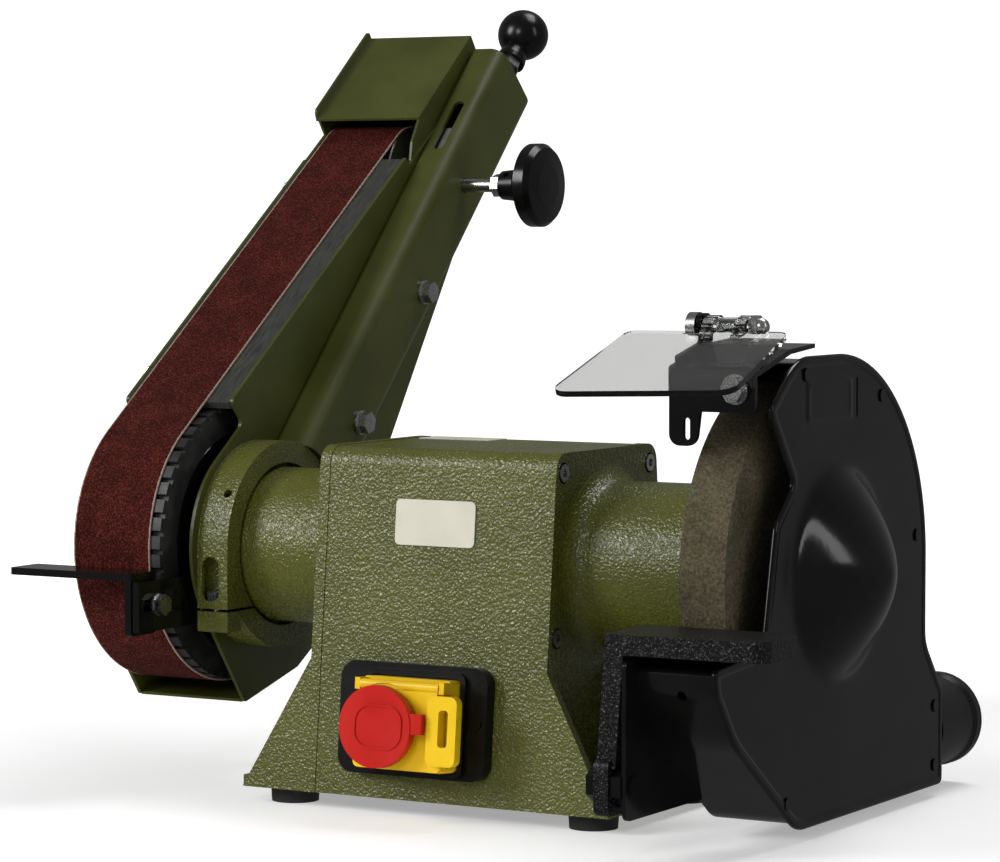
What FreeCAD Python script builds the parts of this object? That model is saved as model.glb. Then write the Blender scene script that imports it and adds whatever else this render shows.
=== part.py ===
"""Bench grinder with a 200 mm wheel on the right and a 50 x 914 mm belt sanding arm on the left.

Millimetres. X runs along the motor shaft, towards the grinding wheel. -Y is the operator's side.
Z is up from the bench top. The origin is the centre of the four bench bolts.
"""
import FreeCAD, Part
import math
import os

os.makedirs("parts", exist_ok=True)

Vector = FreeCAD.Vector
ALONG_X = Vector(1, 0, 0)
ALONG_Y = Vector(0, 1, 0)
ALONG_Z = Vector(0, 0, 1)

# ---------------------------------------------------------------- driving dimensions
# Heights are drawn from a datum plane under the bench; save() and group() lower each piece onto it.
DATUM = 5.8
SHAFT_HEIGHT = 132.2 + DATUM
RUNNING_CLEARANCE = 0.05
MOVING_GAP = 0.3

# motor body
BODY_BOTTOM = 14.6
BODY_TOP = 197.3
BODY_HALF_DEPTH_TOP = 54.7
BODY_HALF_DEPTH_BOTTOM = 72.1
SHELL_HALF_LENGTH = 65.4
BELL_THICKNESS = 6.1
SHELL_WALL = 2.5
FOOT_WING_X = 111.0
WAIST_HEIGHT = 85.0
FOOT_X = 91.0
FOOT_Y = 51.0
RUBBER_RADIUS = 13.2
BENCH_HOLE_RADIUS = 4.25

# nose tubes that carry the shaft bearings
NOSE_RADIUS = 42.5
NOSE_BORE = 36.0
LEFT_NOSE_END = -152.0
RIGHT_NOSE_END = 158.4
BEARING_OUTER = 20.0
BEARING_BORE = 8.5
BEARING_WIDTH = 12.0

# grinding wheel and guard
WHEEL_RADIUS = 100.0
WHEEL_WIDTH = 25.0
WHEEL_X = 177.0
WHEEL_BORE = 8.0
FLANGE_THICKNESS = 3.0
GUARD_LEFT = 158.6
COVER_INNER = 202.8
COVER_OUTER = 205.0
GUARD_RADIUS = 111.2
GUARD_WALL = 2.2
GUARD_BOTTOM = 12.4
PORT_X = 180.5
PORT_HEIGHT = 40.6
PORT_RADIUS = 24.5
PORT_END = 186.0
PORT_BORE = 22.5

# belt drive
CONTACT_RADIUS = 76.7
BELT_WIDTH = 50.0
BELT_X = -192.0
BELT_INNER = 77.0
BELT_THICKNESS = 0.9
RUN_ANGLE = 36.35
IDLER_RADIUS = 28.9
IDLER_DISTANCE = 284.0
BELT_TAPER = math.degrees(math.asin((BELT_INNER - IDLER_RADIUS - MOVING_GAP) / IDLER_DISTANCE))
ARM_ANGLE = RUN_ANGLE + BELT_TAPER
CARRIAGE_TRAVEL = 8.0

# sheet housing round the belt
INNER_PLATE_X = (-152.0, -150.0)
OUTER_PLATE_X = (-222.0, -220.0)
PLATEN_FACE = BELT_INNER - MOVING_GAP
BACK_DISTANCE = 90.0
HOUSING_SHEET = 1.5
HOUSING_TOP = 364.0
PLATEN_BOLT_S = (58.0, 235.0)
PLATEN_BOLT_N = 72.2

# beam
BEAM_X = (-149.7, -127.7)
BEAM_HALF_DEPTH = 25.0
BEAM_WALL = 2.0
BEAM_END = 364.0
BEAM_BOLT_T = (97.0, 198.0)
BEAM_BOLT_M = -9.0
TENSION_X = -138.7
CARRIAGE_T = (262.0, 302.0)
TRACKING_T = 276.0

# left work rest
LEFT_BOLT_Y = -87.5
LEFT_BOLT_Z = 111.0

# clamp ring
RING_RADIUS = 57.0
RING_X = (-150.0, -130.5)


# right work rest
RIGHT_REST_TOP = 118.5
RIGHT_REST_THICKNESS = 10.0
REST_BOLT_Y = -140.5
REST_BOLT_Z = 44.7
REST_TRAVEL = 9.0

# eye shield
HINGE_Y = -55.0
HINGE_Z = 264.0
SHIELD_SLOPE = 18.3


# ---------------------------------------------------------------- shape helpers
def block(x, y, z):
    """Box between three (low, high) ranges."""
    return Part.makeBox(x[1] - x[0], y[1] - y[0], z[1] - z[0], Vector(x[0], y[0], z[0]))


def rod(start, axis, radius, length):
    """Solid cylinder from a start point along an axis."""
    return Part.makeCylinder(radius, length, Vector(*start), axis)


def rod_x(x, radius, y=0.0, z=SHAFT_HEIGHT):
    """Solid cylinder along X between two x values."""
    return Part.makeCylinder(radius, x[1] - x[0], Vector(x[0], y, z), ALONG_X)


def ring_x(x, outer, inner, y=0.0, z=SHAFT_HEIGHT):
    """Ring about an X axis."""
    return rod_x(x, outer, y, z).cut(rod_x((x[0] - 1, x[1] + 1), inner, y, z))


def turned_x(profile, y=0.0, z=SHAFT_HEIGHT):
    """Closed (x, radius) profile revolved about an X axis."""
    points = [Vector(x, y + radius, z) for x, radius in profile]
    wire = Part.makePolygon(points + points[:1])
    return Part.Face(wire).revolve(Vector(0, y, z), ALONG_X, 360)


def outline(corners):
    """Closed wire in the XY plane from (a, b) or (a, b, corner radius) corners."""
    joints = []
    count = len(corners)
    for i, corner in enumerate(corners):
        here = Vector(corner[0], corner[1], 0)
        radius = corner[2] if len(corner) == 3 else 0
        if radius == 0:
            joints.append((here, None, here))
            continue
        back = (Vector(*corners[i - 1][:2], 0) - here).normalize()
        ahead = (Vector(*corners[(i + 1) % count][:2], 0) - here).normalize()
        half = back.getAngle(ahead) / 2
        reach = radius / math.tan(half)
        inward = (back + ahead).normalize()
        middle = here + inward * (radius / math.sin(half) - radius)
        joints.append((here + back * reach, middle, here + ahead * reach))
    edges = []
    for i, (start, middle, end) in enumerate(joints):
        if middle is not None:
            edges.append(Part.Arc(start, middle, end).toShape())
        following = joints[(i + 1) % count][0]
        if (following - end).Length > 1e-6:
            edges.append(Part.makeLine(end, following))
    return Part.Wire(edges)


def plate_x(corners, x):
    """Plate with a (y, z) outline between two x values."""
    shape = Part.Face(outline(corners)).extrude(Vector(0, 0, x[1] - x[0]))
    shape.Placement = FreeCAD.Placement(Vector(x[0], 0, 0), FreeCAD.Rotation(Vector(1, 1, 1), 120))
    return shape


def plate_y(corners, y):
    """Plate with an (x, z) outline between two y values."""
    shape = Part.Face(outline(corners)).extrude(Vector(0, 0, y[1] - y[0]))
    shape.Placement = FreeCAD.Placement(Vector(0, y[1], 0), FreeCAD.Rotation(ALONG_X, 90))
    return shape


def plate_z(corners, z):
    """Plate with an (x, y) outline between two z values."""
    shape = Part.Face(outline(corners)).extrude(Vector(0, 0, z[1] - z[0]))
    shape.Placement = FreeCAD.Placement(Vector(0, 0, z[0]), FreeCAD.Rotation())
    return shape


def rectangle(a, b, radius=0.0):
    """Corners of a rectangle between two (low, high) ranges, with one corner radius."""
    return [(a[0], b[0], radius), (a[1], b[0], radius), (a[1], b[1], radius), (a[0], b[1], radius)]


def cylinder_between(start, end, radius):
    """Solid cylinder between two points."""
    along = Vector(*end) - Vector(*start)
    return Part.makeCylinder(radius, along.Length, Vector(*start), along)


def hexagon(start, axis, across_flats, length):
    """Hexagonal prism from a start point along an axis."""
    radius = across_flats / math.sqrt(3)
    turn = FreeCAD.Rotation(ALONG_Z, Vector(*axis))
    points = []
    for i in range(6):
        angle = math.radians(60 * i)
        corner = Vector(radius * math.cos(angle), radius * math.sin(angle), 0)
        points.append(turn.multVec(corner) + Vector(*start))
    along = Vector(*axis).normalize() * length
    return Part.Face(Part.makePolygon(points + points[:1])).extrude(along)


def hex_bolt(start, axis, shank_radius, shank_length, across_flats, head):
    """Bolt whose head stands on the start point and whose shank goes the other way."""
    shank = Part.makeCylinder(shank_radius, shank_length, Vector(*start), Vector(*axis) * -1)
    return hexagon(start, axis, across_flats, head).fuse(shank)


def on_run(shape):
    """Turn a shape drawn along the belt's front run, from the shaft axis, to its place."""
    placed = shape.copy()
    placed.rotate(Vector(0, 0, 0), ALONG_X, RUN_ANGLE)
    placed.translate(Vector(0, 0, SHAFT_HEIGHT))
    return placed


def on_arm(shape):
    """Turn a shape drawn along the arm's centre line, from the shaft axis, to its place."""
    placed = shape.copy()
    placed.rotate(Vector(0, 0, 0), ALONG_X, ARM_ANGLE)
    placed.translate(Vector(0, 0, SHAFT_HEIGHT))
    return placed


def save(node, shape):
    """Write one sub-part."""
    clean = shape.removeSplitter()
    clean.translate(Vector(0, 0, -DATUM))
    clean.exportStep("parts/" + node + ".step")


def group(node, shapes):
    """Write several like solids as one sub-part."""
    pieces = Part.makeCompound(shapes)
    pieces.translate(Vector(0, 0, -DATUM))
    pieces.exportStep("parts/" + node + ".step")


# ---------------------------------------------------------------- motor body
def body_half_depth(z):
    """Half depth of the sloped body at a height."""
    rise = (z - BODY_BOTTOM) / (BODY_TOP - BODY_BOTTOM)
    return BODY_HALF_DEPTH_BOTTOM + rise * (BODY_HALF_DEPTH_TOP - BODY_HALF_DEPTH_BOTTOM)


def body_section(inset, bottom):
    """(y, z) corners of the body's trapezium, drawn in by an inset."""
    low = body_half_depth(bottom) - inset
    high = BODY_HALF_DEPTH_TOP - inset
    top = BODY_TOP - inset
    corner = 10.0 - inset
    return [(-low, bottom), (low, bottom), (high, top, corner), (-high, top, corner)]


def make_motor_shell():
    """Bent sheet over the motor: front, top and back, open below and at the ends."""
    half = SHELL_HALF_LENGTH - 0.15
    outer = plate_x(body_section(0.4, BODY_BOTTOM), (-half, half))
    inner = plate_x(body_section(0.4 + SHELL_WALL, BODY_BOTTOM - 1), (-half - 1, half + 1))
    shell = outer.cut(inner)
    switch_hole = block((-30, 26), (-90, -50), (36, 75))
    return shell.cut(switch_hole)


def nose_profile(face, end):
    """(x, radius) outside and inside of a nose tube, from the bell's face to its end."""
    way = 1 if end > face else -1
    root = 10.0
    points = [(face - way * 2, NOSE_RADIUS + root)]
    for i in range(7):
        angle = math.radians(15 * i)
        x = face + way * root * (1 - math.cos(angle))
        points.append((x, NOSE_RADIUS + root * (1 - math.sin(angle))))
    points.append((end - way * 1.5, NOSE_RADIUS))
    points.append((end, NOSE_RADIUS - 1.5))
    points.append((end, BEARING_OUTER - 3))
    points.append((end - way * 3, BEARING_OUTER - 3))
    points.append((end - way * 3, BEARING_OUTER))
    points.append((end - way * (3 + BEARING_WIDTH), BEARING_OUTER))
    points.append((end - way * (3 + BEARING_WIDTH), NOSE_BORE - 6))
    points.append((end - way * (9 + BEARING_WIDTH), NOSE_BORE))
    points.append((face - way * 2, NOSE_BORE))
    return points


def bell_screw_places():
    """(y, z) of the four corner screws of an end bell."""
    return [(-47.5, 187.0), (47.5, 187.0), (-55.0, 102.4), (55.0, 102.4)]


def make_end_bell(side):
    """Cast end bell: plate, splayed foot with front and back gussets, and nose tube."""
    inner = SHELL_HALF_LENGTH
    outer = inner + BELL_THICKNESS
    plate = plate_x(body_section(0.0, BODY_BOTTOM), (inner, outer))
    foot = block((inner, FOOT_WING_X), (-BODY_HALF_DEPTH_BOTTOM + 1, BODY_HALF_DEPTH_BOTTOM - 1),
                 (BODY_BOTTOM, BODY_BOTTOM + 6))
    slope = [(outer - 1, BODY_BOTTOM), (FOOT_WING_X, BODY_BOTTOM), (outer - 1, WAIST_HEIGHT + 2)]
    wing = plate_y(slope, (-80, 80))
    gusset = 5.0
    trapezium = body_section(0.0, BODY_BOTTOM)
    core = body_section(gusset, BODY_BOTTOM - 1)
    wings = wing.common(plate_x(trapezium, (inner, FOOT_WING_X)).cut(plate_x(core, (inner, FOOT_WING_X))))
    web = wing.common(block((inner, FOOT_WING_X), (-4, 4), (BODY_BOTTOM, WAIST_HEIGHT)))
    nose_end = RIGHT_NOSE_END if side > 0 else -LEFT_NOSE_END
    nose = turned_x(nose_profile(outer, nose_end))
    bell = plate.cut(rod_x((inner - 1, outer + 1), NOSE_BORE)).fuse([foot, wings, web, nose])
    for y, z in bell_screw_places():
        bell = bell.cut(rod_x((inner - 1, outer + 1), 2.7, y, z))
        bell = bell.cut(rod_x((outer - 3.0, outer + 1), 5.5, y, z))
    for y in (-FOOT_Y, FOOT_Y):
        bell = bell.cut(rod((FOOT_X, y, BODY_BOTTOM - 1), ALONG_Z, BENCH_HOLE_RADIUS, 8))
    if side < 0:
        bell = bell.mirror(Vector(0, 0, 0), ALONG_X)
    return bell


def make_body_screws():
    """Eight cap screws sunk in the end bells."""
    screws = []
    face = SHELL_HALF_LENGTH + BELL_THICKNESS - 3.0
    for side in (-1, 1):
        for y, z in bell_screw_places():
            head = rod_x((face, face + 3.6), 4.6, y, z).cut(hexagon((face + 1.6, y, z), (1, 0, 0), 4.0, 3))
            screw = head.fuse(rod_x((face - 12.0, face), 2.5, y, z))
            screws.append(screw if side > 0 else screw.mirror(Vector(0, 0, 0), ALONG_X))
    return screws


def make_base_plate():
    """Sheet that closes the body below, with cooling slots and a gland hole."""
    plate = block((-64.9, 64.9), (-68.5, 68.5), (BODY_BOTTOM, BODY_BOTTOM + 2))
    for i in range(7):
        x = -36 + 12 * i
        plate = plate.cut(block((x - 2.5, x + 2.5), (-20, 20), (BODY_BOTTOM - 1, BODY_BOTTOM + 3)))
    return plate


def make_rubber_feet():
    """Four round rubber feet, bored for the bench bolts."""
    feet = []
    for x in (-FOOT_X, FOOT_X):
        for y in (-FOOT_Y, FOOT_Y):
            place = Vector(x, y, DATUM)
            foot = Part.makeCone(RUBBER_RADIUS - 0.6, RUBBER_RADIUS, BODY_BOTTOM - DATUM, place, ALONG_Z)
            feet.append(foot.cut(rod((x, y, 0), ALONG_Z, BENCH_HOLE_RADIUS, BODY_BOTTOM + 2)))
    return feet


# ---------------------------------------------------------------- motor works
STATOR_RADIUS = 55.0
STATOR_BORE = 33.0
STACK_HALF_LENGTH = 35.0
ROTOR_RADIUS = 32.6


def make_stator_core():
    """Laminated stack with 24 slots, clamped between the end bells by four tie bolts."""
    core = ring_x((-STACK_HALF_LENGTH, STACK_HALF_LENGTH), STATOR_RADIUS, STATOR_BORE)
    slots = []
    for i in range(24):
        slot = block((-STACK_HALF_LENGTH - 1, STACK_HALF_LENGTH + 1), (-1.6, 1.6), (STATOR_BORE - 2, 46))
        slot.rotate(Vector(0, 0, 0), ALONG_X, 15 * i)
        slot.translate(Vector(0, 0, SHAFT_HEIGHT))
        slots.append(slot)
    return core.cut(slots)


def make_stator_windings():
    """Two rings of copper end turns, one at each end of the stack."""
    rings = []
    for side in (-1, 1):
        low = STACK_HALF_LENGTH + 0.2
        profile = [(low, 36), (low, 50), (low + 8, 52), (low + 15, 49), (low + 15, 39), (low + 8, 36)]
        rings.append(turned_x([(side * x, radius) for x, radius in profile]))
    return rings


def make_run_capacitor():
    """Motor capacitor lying under the stator."""
    can = rod_x((-34, 26), 17.0, 22, 40)
    tabs = [block((26, 33), (22 + dy - 3, 22 + dy + 3), (39.6, 40.4)) for dy in (-7, 7)]
    return can.fuse(tabs)


def make_shaft_bearings():
    """Ball bearings in the ends of the nose tubes."""
    rings = []
    for end, way in ((LEFT_NOSE_END, -1), (RIGHT_NOSE_END, 1)):
        near = end - way * 3
        far = near - way * BEARING_WIDTH
        span = (min(near, far), max(near, far))
        rings.append(ring_x(span, BEARING_OUTER, BEARING_BORE + RUNNING_CLEARANCE))
    return rings


def make_rotor_shaft():
    """Stepped shaft, threaded at both ends for the wheel nuts."""
    profile = [(-208.0, 0), (-208.0, 7.4), (-206.0, 8.0), (-158.4, 8.0), (-158.4, BEARING_BORE)]
    profile += [(-136.0, BEARING_BORE), (-136.0, 10.5), (142.4, 10.5), (142.4, BEARING_BORE)]
    profile += [(159.4, BEARING_BORE), (159.4, 8.0), (208.0, 8.0), (210.0, 7.0), (210.0, 0)]
    return turned_x(profile)


def make_rotor_core():
    """Squirrel cage rotor pressed on the shaft, with its two end rings."""
    core = ring_x((-STACK_HALF_LENGTH, STACK_HALF_LENGTH), ROTOR_RADIUS, 10.5)
    for side in (-1, 1):
        span = sorted((side * STACK_HALF_LENGTH, side * (STACK_HALF_LENGTH + 8)))
        core = core.fuse(ring_x(span, ROTOR_RADIUS - 1, 22))
    return core


def make_cooling_fan():
    """Plastic fan on the shaft beside the rotor: hub, back disc and nine blades."""
    fan = ring_x((53.5, 63), 15, 10.5).fuse(ring_x((53.5, 55.0), 34, 14))
    for i in range(9):
        blade = block((54.5, 63), (-0.9, 0.9), (14, 33.5))
        blade.rotate(Vector(0, 0, 0), ALONG_X, 40 * i)
        blade.translate(Vector(0, 0, SHAFT_HEIGHT))
        fan = fan.fuse(blade)
    return fan


# ---------------------------------------------------------------- grinding wheel
def make_grinding_wheel():
    """Straight vitrified wheel."""
    half = WHEEL_WIDTH / 2
    return ring_x((WHEEL_X - half, WHEEL_X + half), WHEEL_RADIUS, WHEEL_BORE + 0.5)


def make_wheel_flanges():
    """Pressed washers that clamp the wheel, relieved in the middle."""
    flanges = []
    for side in (-1, 1):
        face = side * WHEEL_WIDTH / 2
        deep = FLANGE_THICKNESS
        profile = [(face, 27), (face, 34), (face + side * 1.2, 34), (face + side * deep, 28)]
        profile += [(face + side * deep, WHEEL_BORE), (face + side, WHEEL_BORE), (face + side, 27)]
        flanges.append(turned_x([(WHEEL_X + x, radius) for x, radius in profile]))
    return flanges


def make_shaft_nuts():
    """Hexagon nuts on the shaft's ends, 24 mm across flats: the wheel's and the contact wheel's."""
    right = WHEEL_X + WHEEL_WIDTH / 2 + FLANGE_THICKNESS + 0.1
    nuts = []
    for start, way in ((right, 1), (-196.1, -1)):
        nut = hexagon((start, 0, SHAFT_HEIGHT), (way, 0, 0), 24.0, 10.0)
        nuts.append(nut.cut(rod_x((start - 12, start + 12), 8.0)))
    return nuts


# ---------------------------------------------------------------- wheel guard
def cover_outline():
    """(y, z) corners of the guard cover's outer sheet."""
    top = SHAFT_HEIGHT + GUARD_RADIUS
    return [
        (-48.0, GUARD_BOTTOM, 30), (134.7, GUARD_BOTTOM, 4), (134.7, 64.0, 8), (GUARD_RADIUS, 92.0, 18),
        (GUARD_RADIUS, top, GUARD_RADIUS), (-50.0, top, 45), (-82.0, 224.0, 6), (-53.4, 186.5, 5),
        (-74.0, 168.0, 12), (-87.0, 107.5, 3), (-141.0, 103.5, 4), (-139.0, 90.0, 12), (-119.0, 63.0, 60),
    ]


def wall_outline():
    """(y, z) corners of the guard's rim, just inside the cover's edge."""
    top = SHAFT_HEIGHT + GUARD_RADIUS - 3
    side = GUARD_RADIUS - 3
    return [
        (-49.0, GUARD_BOTTOM + 3, 28), (131.7, GUARD_BOTTOM + 3, 3), (131.7, 62.5, 6), (side, 90.5, 18),
        (side, top, side), (-50.0, top, 42), (-78.0, 225.0), (-78.0, 200.0), (-20.0, 160.0),
        (-20.0, 112.0), (-86.0, 112.0), (-137.0, 101.0, 3), (-135.5, 90.5, 12), (-116.5, 65.0, 58),
    ]


def inner_wall_outline():
    """(y, z) corners of the space inside the guard's rim."""
    inset = 3 + GUARD_WALL
    top = SHAFT_HEIGHT + GUARD_RADIUS - inset
    side = GUARD_RADIUS - inset
    bottom = GUARD_BOTTOM + inset
    return [
        (-48.0, bottom, 26), (131.7 - GUARD_WALL, bottom, 1), (131.7 - GUARD_WALL, 62.0, 5), (side, 90.0, 17),
        (side, top, side), (-50.0, top, 40), (-90.0, 222.0), (-90.0, 190.0), (-120.0, 190.0),
        (-120.0, 104.0), (-134.0, 99.0, 2), (-133.0, 90.5, 10), (-114.5, 65.0, 56),
    ]


def make_guard_shell():
    """Left half of the guard: side plate bolted to the nose tube, and a rim round the wheel.

    The side plate runs on in front of the rim as a bracket for the right work rest.
    """
    wall = (GUARD_LEFT, GUARD_LEFT + GUARD_WALL)
    through = (GUARD_LEFT - 1, COVER_INNER + 1)
    rim = plate_x(wall_outline(), (GUARD_LEFT, COVER_INNER))
    space = plate_x(inner_wall_outline(), (GUARD_LEFT + GUARD_WALL, COVER_INNER + 1))
    shell = rim.cut(space)
    shell = shell.cut(block(through, (-130, -24), (112.5, 222)))
    side_gap = plate_x([(-130, 108), (-34, 108), (-34, 222), (-40, 260), (-130, 260)], (wall[0] - 1, wall[1]))
    shell = shell.cut(side_gap)
    bracket = plate_x([(-148, 28, 5), (-60, 28), (-60, 106), (-148, 106, 4)], wall)
    shell = shell.fuse(bracket)
    shell = shell.cut(rod_x((wall[0] - 1, wall[1] + 1), 17.5))
    shell = shell.cut(rod((PORT_X, 120, PORT_HEIGHT), ALONG_Y, 19.0, 20))
    shell = shell.cut(rod_x((wall[0] - 1, wall[1] + 1), 5.1, REST_BOLT_Y, REST_BOLT_Z))
    panel_screw = rod((184.0, -150, 89.0), ALONG_Y, 2.4, 30)
    for y, z in guard_screw_places():
        shell = shell.cut(rod_x((wall[0] - 1, wall[1] + 1), 2.6, y, z))
    return shell.cut(panel_screw)


def guard_screw_places():
    """(y, z) of the screws that fix the guard to the right nose tube."""
    places = []
    for degrees in (-60, 0, 60, 120):
        angle = math.radians(degrees)
        places.append((28 * math.cos(angle), SHAFT_HEIGHT + 28 * math.sin(angle)))
    return places


def make_guard_screws():
    """Screws inside the guard, into the end of the nose tube, and pan heads round the cover."""
    screws = []
    inner = GUARD_LEFT + GUARD_WALL
    for y, z in guard_screw_places():
        screws.append(turned_x([(inner + 0.6, 0), (inner + 0.6, 4.4), (inner, 4.4), (inner, 2.5),
                                (GUARD_LEFT, 2.5), (GUARD_LEFT, 0)], y, z))
    for y, z in ((124.0, 24.0), (124.0, 56.0), (98.5, 150.0), (52.0, 226.0), (-40.0, 240.0), (-60.0, 28.0)):
        screws.append(rod_x((COVER_OUTER, COVER_OUTER + 0.5), 3.4, y, z))
    return screws


BULGE_PROFILE = [
    (0.0, 59.0), (1.2, 54.0), (5.0, 48.0), (11.0, 41.0), (18.0, 32.0), (24.0, 22.0), (28.5, 12.0), (30.0, 0.0),
]


def bulge(base_x, shrink):
    """Solid of the domed bulge over the wheel nut."""
    points = [Vector(base_x + x, max(radius - shrink, 0), SHAFT_HEIGHT) for x, radius in BULGE_PROFILE]
    curve = Part.BSplineCurve()
    curve.interpolate(points)
    base = Vector(base_x, 0, SHAFT_HEIGHT)
    edges = [curve.toShape(), Part.makeLine(points[-1], base), Part.makeLine(base, points[0])]
    return Part.Face(Part.Wire(edges)).revolve(Vector(0, 0, SHAFT_HEIGHT), ALONG_X, 360)


def make_guard_cover():
    """Pressed right cover of the guard, with a flanged edge and a domed bulge."""
    sheet = plate_x(cover_outline(), (COVER_INNER, COVER_OUTER))
    dome = bulge(COVER_OUTER - 0.2, 0.0)
    hollow = bulge(COVER_OUTER - 0.2 - GUARD_WALL, 2.0).fuse(rod_x((COVER_INNER - 1, COVER_OUTER - 0.3), 48))
    cover = sheet.fuse(dome).cut(hollow)
    slot = block((COVER_INNER - 1, COVER_OUTER + 1), (20.2, 22.0), (217, 236))
    return cover.cut(slot)


def make_exhaust_port():
    """Dust outlet pipe at the back of the guard, with a rolled lip."""
    start = 131.9
    neck = 20.9
    profile = [(start, neck - 2), (start, neck), (start + 3.2, neck), (start + 3.2, PORT_RADIUS)]
    profile += [(PORT_END - 10, PORT_RADIUS), (PORT_END - 6, PORT_RADIUS + 1.3), (PORT_END, PORT_RADIUS + 1.3)]
    profile += [(PORT_END, PORT_BORE)]
    profile += [(start + 5, PORT_BORE), (start + 5, neck - 2)]
    pipe = turned_x(profile, 0.0, 0.0)
    pipe.rotate(Vector(0, 0, 0), ALONG_Z, 90)
    pipe.translate(Vector(PORT_X, 0, PORT_HEIGHT))
    return pipe


# ---------------------------------------------------------------- right work rest
def make_right_rest():
    """Cast tool rest: table in front of the wheel, leaning post, and slotted foot."""
    table = plate_z([(148.5, -147), (228, -147, 2), (234, -140, 2), (234, -112, 3), (226, -103), (148.5, -103)],
                    (RIGHT_REST_TOP - RIGHT_REST_THICKNESS, RIGHT_REST_TOP))
    post = plate_y([(148.5, 112), (158.4, 112), (158.4, 106), (154.6, 54), (152.4, 30), (144.4, 30), (144.4, 54)],
                   (-147, -127))
    foot = plate_x([(-150.5, 30, 5), (-112, 30, 5), (-112, 58, 5), (-150.5, 58, 5)], (144.4, 152.4))
    rest = table.fuse([post, foot])
    travel = REST_TRAVEL
    nut_room = rectangle((REST_BOLT_Y - 10.6, REST_BOLT_Y + travel + 10.6),
                         (REST_BOLT_Z - 10.6, REST_BOLT_Z + 10.6), 10.5)
    slot = rectangle((REST_BOLT_Y - 5.6, REST_BOLT_Y + travel + 5.6),
                     (REST_BOLT_Z - 5.3, REST_BOLT_Z + 5.3), 5.25)
    return rest.cut([plate_x(slot, (140, 165)), plate_x(nut_room, (152.4, 160))])


def make_right_rest_bolt():
    """Bolt, nut and washer that clamp the right rest to the guard's side plate."""
    head = hexagon((144.3, REST_BOLT_Y, REST_BOLT_Z), (-1, 0, 0), 16.0, 5.0)
    shank = rod_x((144.3, 162.0), 5.0, REST_BOLT_Y, REST_BOLT_Z)
    nut = hexagon((152.5, REST_BOLT_Y, REST_BOLT_Z), (1, 0, 0), 17.0, 6.0)
    return head.fuse([shank, nut])


# ---------------------------------------------------------------- spark arrestor and eye shield
def make_spark_arrestor():
    """Bent plate over the wheel: front plate with an ear at the left, and a sloping top plate."""
    bent = plate_x([(-88.5, 223), (-86, 223), (-86, 240.6), (-48, 250.5), (-20, 252.8), (-20, 255.0),
                    (-49, 253), (-88.5, 243, 2)], (153, 200))
    ear = plate_y([(153, 206, 6), (168, 206, 6), (170.5, 226), (153, 226)], (-88.5, -86))
    arrestor = bent.fuse(ear).cut(rod((190, -95, 233.5), ALONG_Y, 3.0, 15))
    return arrestor.cut(plate_y(rectangle((161, 164.6), (209, 220), 1.7), (-95, -80)))


def make_arrestor_bolt():
    """Hexagon bolt with a washer that clamps the spark arrestor."""
    bolt = hex_bolt((190, -90, 233.5), (0, -1, 0), 2.9, 9, 10.0, 4.5)
    washer = rod((190, -90, 233.5), ALONG_Y, 6.5, 1.3)
    return bolt.fuse(washer)


def make_shield_arm():
    """Flat bar from the spark arrestor up to the eye shield's hinge."""
    bar = plate_x([(-82, 244.9), (-46, 254.3), (-46, 262, 5), (-49.5, 270.5, 5), (-60.5, 270.5, 5), (-60.5, 263.5),
                   (-56.8, 262.4), (-56.8, 254, 2), (-82, 248)], (153.2, 156.2))
    return bar.cut(rod_x((150, 160), 3.05, HINGE_Y, HINGE_Z))


def shield_place(shape):
    """Tilt a shape drawn flat at the hinge to the shield's slope."""
    placed = shape.copy()
    placed.rotate(Vector(0, 0, 0), ALONG_X, SHIELD_SLOPE)
    placed.translate(Vector(0, HINGE_Y, HINGE_Z))
    return placed


def make_eye_shield():
    """Clear sheet with rounded corners, and two hinge lugs with a tube between them."""
    sheet = plate_z([(114.8, -92.5, 9), (210.5, -84.5, 9), (203.5, -3.5, 6), (114.8, -5, 6)], (-4.0, -1.0))
    sheet = sheet.cut([rod_x((147.0, 158.0), 8.2, 0, 0), rod_x((182.1, 192.0), 6.4, 0, 0)])
    hinge = [rod_x((164.0, 177.0), 4.6, 0, 0)]
    for x in ((158.4, 164.4), (176.0, 182.0)):
        hinge.append(plate_x([(-16, -2.5), (-4, -2.5), (5.5, -4.5, 4), (5.5, 5.5, 5), (-5.5, 5.5, 5)], x))
    pin_hole = rod_x((150, 190), 3.0 + RUNNING_CLEARANCE, 0, 0)
    return shield_place(sheet.fuse(hinge).cut(pin_hole))


def make_shield_pin():
    """Hinge screw of the eye shield, with a washer and a domed nut."""
    pin = rod_x((149.0, 185.0), 3.0, HINGE_Y, HINGE_Z)
    head = rod_x((148.0, 153.1), 7.0, HINGE_Y, HINGE_Z)
    nut = hexagon((182.3, HINGE_Y, HINGE_Z), (1, 0, 0), 10.0, 4.5)
    dome = Part.makeSphere(4.6, Vector(186.6, HINGE_Y, HINGE_Z))
    return pin.fuse([head, nut, dome])


# ---------------------------------------------------------------- contact wheel and clamp ring
TYRE_X = (-218.0, -161.0)


def make_contact_hub():
    """Turned aluminium hub of the contact wheel."""
    profile = [(-217.0, 50), (-217.0, 60.9), (-161.5, 60.9), (-161.0, 60.4), (-161.0, 55), (-167.0, 52)]
    profile += [(-167.0, 22), (-158.5, 18), (-158.5, 8.0), (-196.0, 8.0), (-196.0, 22), (-180.0, 26), (-180.0, 50)]
    return turned_x(profile)


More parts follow.
